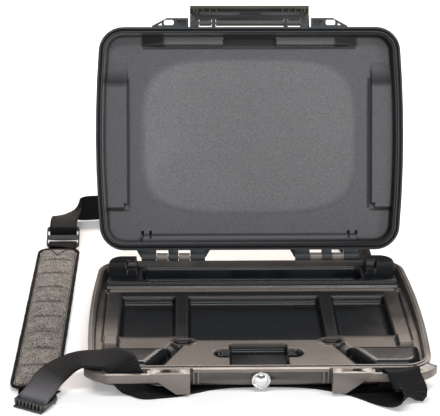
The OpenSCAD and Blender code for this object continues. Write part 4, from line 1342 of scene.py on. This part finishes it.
@dataclass
class Cushion:
    """Shoulder cushion: quilted pad, bound edge and stitches, sizes in millimetres.

    Attributes:
        middle: where its middle lies on the floor.
        width: its width inside the binding.
        length: its length inside the binding.
        low: height of its underside.
        thick: thickness at its edge.
        crown: how much more its middle rises.
        channels: sewn lines across it.
        sewn_edge: width of the border that is sewn down.
        binding_d: thickness of the bound edge.
        binding_waves: rates of the waves that make it uneven.
        frames: frames of the cloth simulation.
        most_swell: the most that the simulation may move a point.
        wrinkles: number of cross wrinkles.
        wrinkle_half: half the width of one.
        seed: start of its random draws.
    """

    middle: Pair = (-254, 47)
    width: float = 48.6
    length: float = 371.6
    low: float = 3.2
    thick: float = 5.4
    crown: float = 3.4
    channels: int = 8
    sewn_edge: float = 2.2
    binding_d: float = 4.0
    binding_waves: Sequence[float] = (0.31, 0.53, 0.83, 1.27)
    frames: int = 20
    most_swell: float = 2.6
    wrinkles: int = 26
    wrinkle_half: float = 1.9
    seed: int = 7

    def _stretch(self, y: Field) -> Field:
        """Place along the cushion, whole on each sewn line."""
        return (y - self.middle[1] + self.length / 2) / self.length * (self.channels + 1)

    def _fullness(self, y: Field) -> Field:
        """0 on a sewn line, 1 midway between two."""
        return np.abs(np.sin(np.pi * self._stretch(y))) ** 0.3

    def _start(self) -> bpy.types.Mesh:
        """Closed slab with round corners, a little slimmer than the finished cushion.

        Returns:
            The slab's mesh in metres.
        """
        shape = bmesh.new()
        bmesh.ops.create_grid(shape, x_segments=18, y_segments=162, size=1)
        for vert in shape.verts:
            u, v = vert.co.x, vert.co.y
            # slimmer towards the ends, and rounded off at the last of them
            reach = 1 - 0.05 * abs(v) ** 6 - 0.14 * (max(abs(v) - 0.955, 0) / 0.045) ** 2
            vert.co = Vector((self.middle[0] + u * reach * self.width / 2,
                              self.middle[1] + v * self.length / 2, self.low)) * MM
        made = bmesh.ops.extrude_face_region(shape, geom=shape.faces[:])["geom"]
        half = self.thick * 0.5
        for vert in new_verts(made):
            u = (vert.co.x / MM - self.middle[0]) / (self.width / 2)
            v = (vert.co.y / MM - self.middle[1]) / (self.length / 2)
            crown = (1 - min(abs(u), 1) ** 3) * (1 - 0.8 * min(abs(v), 1) ** 16)
            full = 0.6 + 0.4 * float(self._fullness(np.array(vert.co.y / MM)))
            vert.co.z += (half + (half + self.crown) * crown * full) * MM
        bmesh.ops.recalc_face_normals(shape, faces=shape.faces)
        return mesh_of("cushion", shape)

    def _sewn_down(self, places: Field) -> list[int]:
        """Finds what the simulation keeps in place: border, underside and sewn lines.

        Args:
            places: the cushion's points in metres.

        Returns:
            The numbers of the points.
        """
        edge = np.abs(places[:, 0] / MM - self.middle[0]) > self.width / 2 - self.sewn_edge
        low = places[:, 2] < (self.low + 0.6) * MM
        line = self._fullness(places[:, 1] / MM) < 0.45
        return [int(i) for i in np.nonzero(edge | low | line)[0]]

    def _swell(self, mesh: bpy.types.Mesh) -> None:
        """Blows the cushion up with cloth pressure; its border and its lines stay sewn down.

        Args:
            mesh: the slab, which is changed.
        """
        piece = bpy.data.objects.new("cushion_sim", mesh)
        bpy.context.scene.collection.objects.link(piece)
        co = np.zeros(len(mesh.vertices) * 3)
        mesh.vertices.foreach_get("co", co)
        start = co.reshape(-1, 3).copy()
        piece.vertex_groups.new(name="sewn").add(self._sewn_down(start), 1.0, "REPLACE")
        cloth = piece.modifiers.new("cloth", "CLOTH")
        cloth.settings.use_pressure = True
        cloth.settings.uniform_pressure_force = 4
        cloth.settings.vertex_group_mass = "sewn"
        cloth.settings.tension_stiffness = 12
        cloth.settings.compression_stiffness = 6
        cloth.settings.bending_stiffness = 0.3
        cloth.settings.effector_weights.gravity = 0
        cloth.collision_settings.use_collision = False
        scene = bpy.context.scene
        scene.frame_start = 1
        for frame_number in range(1, self.frames + 1):
            scene.frame_set(frame_number)
        swollen = piece.evaluated_get(bpy.context.evaluated_depsgraph_get())
        swollen.to_mesh().vertices.foreach_get("co", co)
        moved = co.reshape(-1, 3) - start
        swollen.to_mesh_clear()
        length = np.linalg.norm(moved, axis=1, keepdims=True) + 1e-12
        moved *= np.minimum(1, self.most_swell * MM / length)
        mesh.vertices.foreach_set("co", (start + moved).ravel())
        bpy.data.objects.remove(piece)
        scene.frame_set(1)

    def _crease(self, mesh: bpy.types.Mesh) -> None:
        """Presses small cross wrinkles into the upper face, and paints shade into them and along the sewn
        lines.

        Args:
            mesh: the swollen cushion, which is changed.
        """
        rng = np.random.default_rng(self.seed)
        co = np.zeros(len(mesh.vertices) * 3)
        mesh.vertices.foreach_get("co", co)
        co = co.reshape(-1, 3)
        top = clipped((co[:, 2] / MM - self.low - 3) / 5)
        depth = np.zeros(len(co))
        for _ in range(self.wrinkles):
            y = self.middle[1] + rng.uniform(-0.48, 0.48) * self.length
            slant, reach, side = rng.uniform(-0.12, 0.12), rng.uniform(10, 26), rng.uniform(-12, 12)
            x = co[:, 0] / MM - self.middle[0] - side
            away = co[:, 1] / MM - y - slant * x
            shape = np.exp(-(away / self.wrinkle_half) ** 2) * np.exp(-(x / reach) ** 2)
            depth += rng.uniform(0.3, 0.85) * shape
        co[:, 2] -= depth * top * MM
        mesh.vertices.foreach_set("co", co.ravel())
        # painted shade in the wrinkles and along the sewn lines
        stretch = self._stretch(co[:, 1] / MM)
        sewn = np.exp(-((stretch - np.round(stretch)) / 0.055) ** 2)
        shade = mesh.attributes.new("pale", "FLOAT", "POINT")
        shade.data.foreach_set("value", -clipped(1.1 * sewn + 0.3 * depth) * top)

    def _edge_path(self, out: float, z: float, corner: float) -> list[Vector]:
        """Closed path round the cushion.

        Args:
            out: how far it lies outside the edge, in millimetres.
            z: its height.
            corner: radius of its corners.

        Returns:
            Its points in metres.
        """
        path = []
        half_w, half_l = self.width / 2 + out - corner, self.length / 2 + out - corner
        steps = 8
        for cx, cy, start in ((1, -1, -90), (1, 1, 0), (-1, 1, 90), (-1, -1, 180)):
            for step in range(steps + 1):
                a = math.radians(start + step * 90 / steps)
                path.append(Vector((self.middle[0] + cx * half_w + corner * math.cos(a),
                                    self.middle[1] + cy * half_l + corner * math.sin(a), z)) * MM)
        return path

    def _stitches(self) -> bpy.types.Mesh:
        """Rows of thread along the binding and the sewn triangle at the rear end.

        Returns:
            A mesh with one cube for each stitch.
        """
        shape = bmesh.new()
        x, y = self.middle
        rear = y + self.length / 2
        corners = ((x - 11.5, rear - 4), (x + 11.5, rear - 4), (x, rear - 30))
        triangle = [Vector((*spot, self.low + 8.4)) * MM for spot in corners]
        for path, step, width in ((self._edge_path(-1.7, self.low + 7.2, 9), 3.4, 0.5), (triangle, 1.5, 2.2)):
            stretch = Matrix.Diagonal((step * 0.66 * MM, width * MM, 0.7 * MM, 1))
            for here, there in zip(path, path[1:] + path[:1]):
                way = there - here
                turn = Matrix.Rotation(math.atan2(way.y, way.x), 4, "Z")
                count = max(int(way.length / (step * MM)), 1)
                for k in range(count):
                    spot = Matrix.Translation(here + way * ((k + 0.5) / count))
                    bmesh.ops.create_cube(shape, size=1, matrix=spot @ turn @ stretch)
        return mesh_of("stitches", shape)

    def _settle_on(self, mesh: bpy.types.Mesh, carrier: bpy.types.Object) -> None:
        """Lowers or lifts each stitch onto the cushion's upper face.

        Args:
            mesh: the stitches, cubes of eight points each.
            carrier: the cushion.
        """
        above = 0.05
        for first in range(0, len(mesh.vertices), 8):
            verts = mesh.vertices[first:first + 8]
            middle = sum((vert.co for vert in verts), Vector()) / 8
            hit, place, _, _ = carrier.ray_cast((middle.x, middle.y, above), (0, 0, -1))
            if hit:
                for vert in verts:
                    vert.co.z += place.z - middle.z

    def build(self) -> None:
        """Makes the cushion, its binding and its stitches."""
        mesh = self._start()
        self._swell(mesh)
        self._crease(mesh)
        cushion = finish_piece("strap_cushion", mesh, KNIT, "base", ("strap_pad",), 180)
        stitches = self._stitches()
        bpy.context.view_layer.update()
        self._settle_on(stitches, cushion)
        smooth = cushion.modifiers.new("smooth", "SUBSURF")
        smooth.levels = smooth.render_levels = 1
        finish_piece("strap_cushion_stitches", stitches, THREAD, "base")
        self._binding()

    def _binding(self) -> None:
        """Bound edge: a soft tape folded round the cushion's rim, a little uneven."""
        rng = np.random.default_rng(self.seed + 1)
        phases = rng.uniform(0, math.tau, len(self.binding_waves))
        path = self._edge_path(self.binding_d * 0.42, self.low + 2.0, 10)
        dense = []
        for here, there in zip(path, path[1:] + path[:1]):
            pieces = max(int((there - here).length / (4 * MM)), 1)
            dense += [here.lerp(there, k / pieces) for k in range(pieces)]
        shape = bmesh.new()
        sides = 10
        line = bmesh.ops.create_circle(shape, segments=sides, radius=1)["verts"]
        first = edges = shape.edges[:]
        turns = [math.tau * k / sides for k in range(sides)]
        for k, here in enumerate(dense):
            ahead = (dense[(k + 1) % len(dense)] - dense[k - 1]).normalized()
            out = Vector((ahead.y, -ahead.x, 0)).normalized()
            if k:
                made = bmesh.ops.extrude_edge_only(shape, edges=edges)["geom"]
                edges, fresh = new_edges(made), new_verts(made)
                line = [min(fresh, key=lambda vert, old=old: (vert.co - old.co).length_squared)
                        for old in line]
            wave = sum(math.sin(k * rate + phase) for rate, phase in zip(self.binding_waves, phases)) * 0.07
            wide = self.binding_d / 2 * (1.02 + wave * 0.5)
            tall = self.binding_d / 2 * (1.12 + wave)
            for turn, vert in zip(turns, line):
                reach = out * wide * math.cos(turn) + Vector((0, 0, 1)) * tall * math.sin(turn)
                vert.co = here + reach * MM
        bmesh.ops.bridge_loops(shape, edges=first + edges)
        bmesh.ops.recalc_face_normals(shape, faces=shape.faces)
        mesh = mesh_of("binding", shape)
        finish_piece("strap_cushion_binding", mesh, BINDING, "base", ("pad_binding",), 180)


@dataclass(frozen=True)
class Lamp:
    """One softbox of the studio.

    Attributes:
        name: its name.
        place: where it stands, in metres.
        target: where it points.
        size: its width and height.
        power: its power in watts.
        colour: its colour from 0 to 255.
    """

    name: str
    place: Place
    target: Place
    size: Pair
    power: float
    colour: Rgb = (255, 255, 255)

    def build(self) -> None:
        """Adds the softbox."""
        data = bpy.data.lights.new(self.name, "AREA")
        data.shape = "RECTANGLE"
        data.size, data.size_y = self.size
        data.energy = self.power
        data.color = linear(self.colour)[:3]
        lamp = bpy.data.objects.new(self.name, data)
        turn = (Vector(self.target) - Vector(self.place)).to_track_quat("-Z", "Y").to_matrix().to_4x4()
        lamp.matrix_world = Matrix.Translation(self.place) @ turn
        bpy.context.scene.collection.objects.link(lamp)


LAMPS = (
    Lamp("overhead", (0.1, -0.62, 1.9), (0, 0, 0.05), (1.9, 0.22), 24),
    Lamp("behind", (0.0, 1.95, 1.85), (0, -0.1, 0.02), (2.6, 0.5), 80, (255, 242, 232)),
    Lamp("front", (0.2, -2.45, 0.95), (0, 0.1, 0.17), (1.2, 0.6), 15),
    Lamp("side", (1.9, -1.3, 0.9), (0, 0.1, 0.15), (0.4, 0.4), 13),
)


@dataclass
class Studio:
    """Camera at the photograph's angle, a pale floor and pale surroundings.

    Attributes:
        camera_place: where the camera stands, in metres.
        lens: its focal length in millimetres.
        pitch: how far it looks down, in degrees.
        yaw: how far it looks aside.
        roll: how far it leans.
        floor_size: length of the floor's sides, in metres.
        floor_tone: how much light the floor gives back.
        painted_light: light that the floor and the surroundings give of themselves.
    """

    camera_place: Place = (-0.08535, -1.62968, 0.8419)
    lens: float = 123.57
    pitch: float = 22.596
    yaw: float = -1.473
    roll: float = 0.356
    floor_size: float = 14.0
    floor_tone: float = 0.9
    painted_light: float = 0.2

    def camera(self) -> None:
        """Makes the camera from its place and its turns."""
        pitch, yaw, roll = (math.radians(angle) for angle in (self.pitch, self.yaw, self.roll))
        ahead = Vector((-math.sin(yaw) * math.cos(pitch), math.cos(yaw) * math.cos(pitch), -math.sin(pitch)))
        level = ahead.cross(Vector((0, 0, 1))).normalized()
        upright = level.cross(ahead)
        right = level * math.cos(roll) + upright * math.sin(roll)
        up = right.cross(ahead)
        turn = Matrix((right, up, -ahead)).transposed().to_4x4()
        data = bpy.data.cameras.new("camera")
        data.lens = self.lens
        data.sensor_width = 36
        data.clip_start = 0.01
        camera = bpy.data.objects.new("camera", data)
        camera.matrix_world = Matrix.Translation(self.camera_place) @ turn
        bpy.context.scene.collection.objects.link(camera)
        bpy.context.scene.camera = camera

    def floor(self) -> None:
        """Adds the pale floor, which keeps the case's shadow."""
        shape = bmesh.new()
        bmesh.ops.create_grid(shape, x_segments=1, y_segments=1, size=self.floor_size / 2)
        floor = bpy.data.objects.new("floor", mesh_of("floor", shape))
        bpy.context.scene.collection.objects.link(floor)
        sheet = NodeSheet("floor_paper")
        values = {"Base Color": (*[self.floor_tone] * 3, 1), "Roughness": 0.9, "Specular IOR Level": 0.1,
                  "Emission Color": (1, 1, 1, 1), "Emission Strength": self.painted_light}
        for name, value in values.items():
            sheet.shader.inputs[name].default_value = value
        floor.data.materials.append(sheet.material)

    def world(self) -> None:
        """Pale surroundings that light the case softly and show white behind it."""
        world = bpy.data.worlds.new("studio")
        bpy.context.scene.world = world
        world.use_nodes = True
        tree = world.node_tree
        tree.nodes.clear()
        path = tree.nodes.new("ShaderNodeLightPath")
        mix = tree.nodes.new("ShaderNodeMixShader")
        tree.links.new(path.outputs["Is Camera Ray"], mix.inputs[0])
        for slot, strength in ((1, self.painted_light), (2, 1.0)):
            light = tree.nodes.new("ShaderNodeBackground")
            light.inputs["Color"].default_value = (1, 1, 1, 1)
            light.inputs["Strength"].default_value = strength
            tree.links.new(light.outputs[0], mix.inputs[slot])
        out = tree.nodes.new("ShaderNodeOutputWorld")
        tree.links.new(mix.outputs[0], out.inputs[0])

    def build(self) -> None:
        """Sets up the whole studio."""
        self.camera()
        self.floor()
        self.world()
        for lamp in LAMPS:
            lamp.build()
        bpy.context.scene.view_settings.view_transform = "Standard"


RIGID = (
    DressedNode("base_shell", SHELL, "base", 0.55),
    DressedNode("lid_shell", LID_SHELL, "lid", 0.55),
    DressedNode("lid_seal", SEAL, "lid", 0),
    DressedNode("hinge_pin_left", PIN, "base", 0.3),
    DressedNode("hinge_pin_right", PIN, "base", 0.3),
    DressedNode("latch_pin", PIN, "lid", 0.3),
    DressedNode("lever_pin", PIN, "latch", 0.2),
    DressedNode("latch_jaw", LATCH, "latch", 0.4),
    DressedNode("latch_lever", LEVER, "lever", 0.4),
    DressedNode("valve_body", VALVE, "base", 0.18),
    DressedNode("valve_cap", VALVE, "base", 0.3),
    DressedNode("valve_nut", VALVE, "base", 0.2),
    DressedNode("valve_seal", SEAL, "base", 0.15),
    DressedNode("valve_membrane", MEMBRANE, "base", 0),
    DressedNode("strap_adjuster", BUCKLE, "base", 0.6),
    DressedNode("ladder_lock", BUCKLE, "base", 0.5),
)


def main() -> None:
    """Builds the dressed case in order."""
    Studio().build()
    for piece in RIGID:
        piece.build(frame)
    Tray().build()
    LidLiner().build(Hinging().placing())
    Webbing().build()
    Cushion().build()


if __name__ == "__main__":
    main()
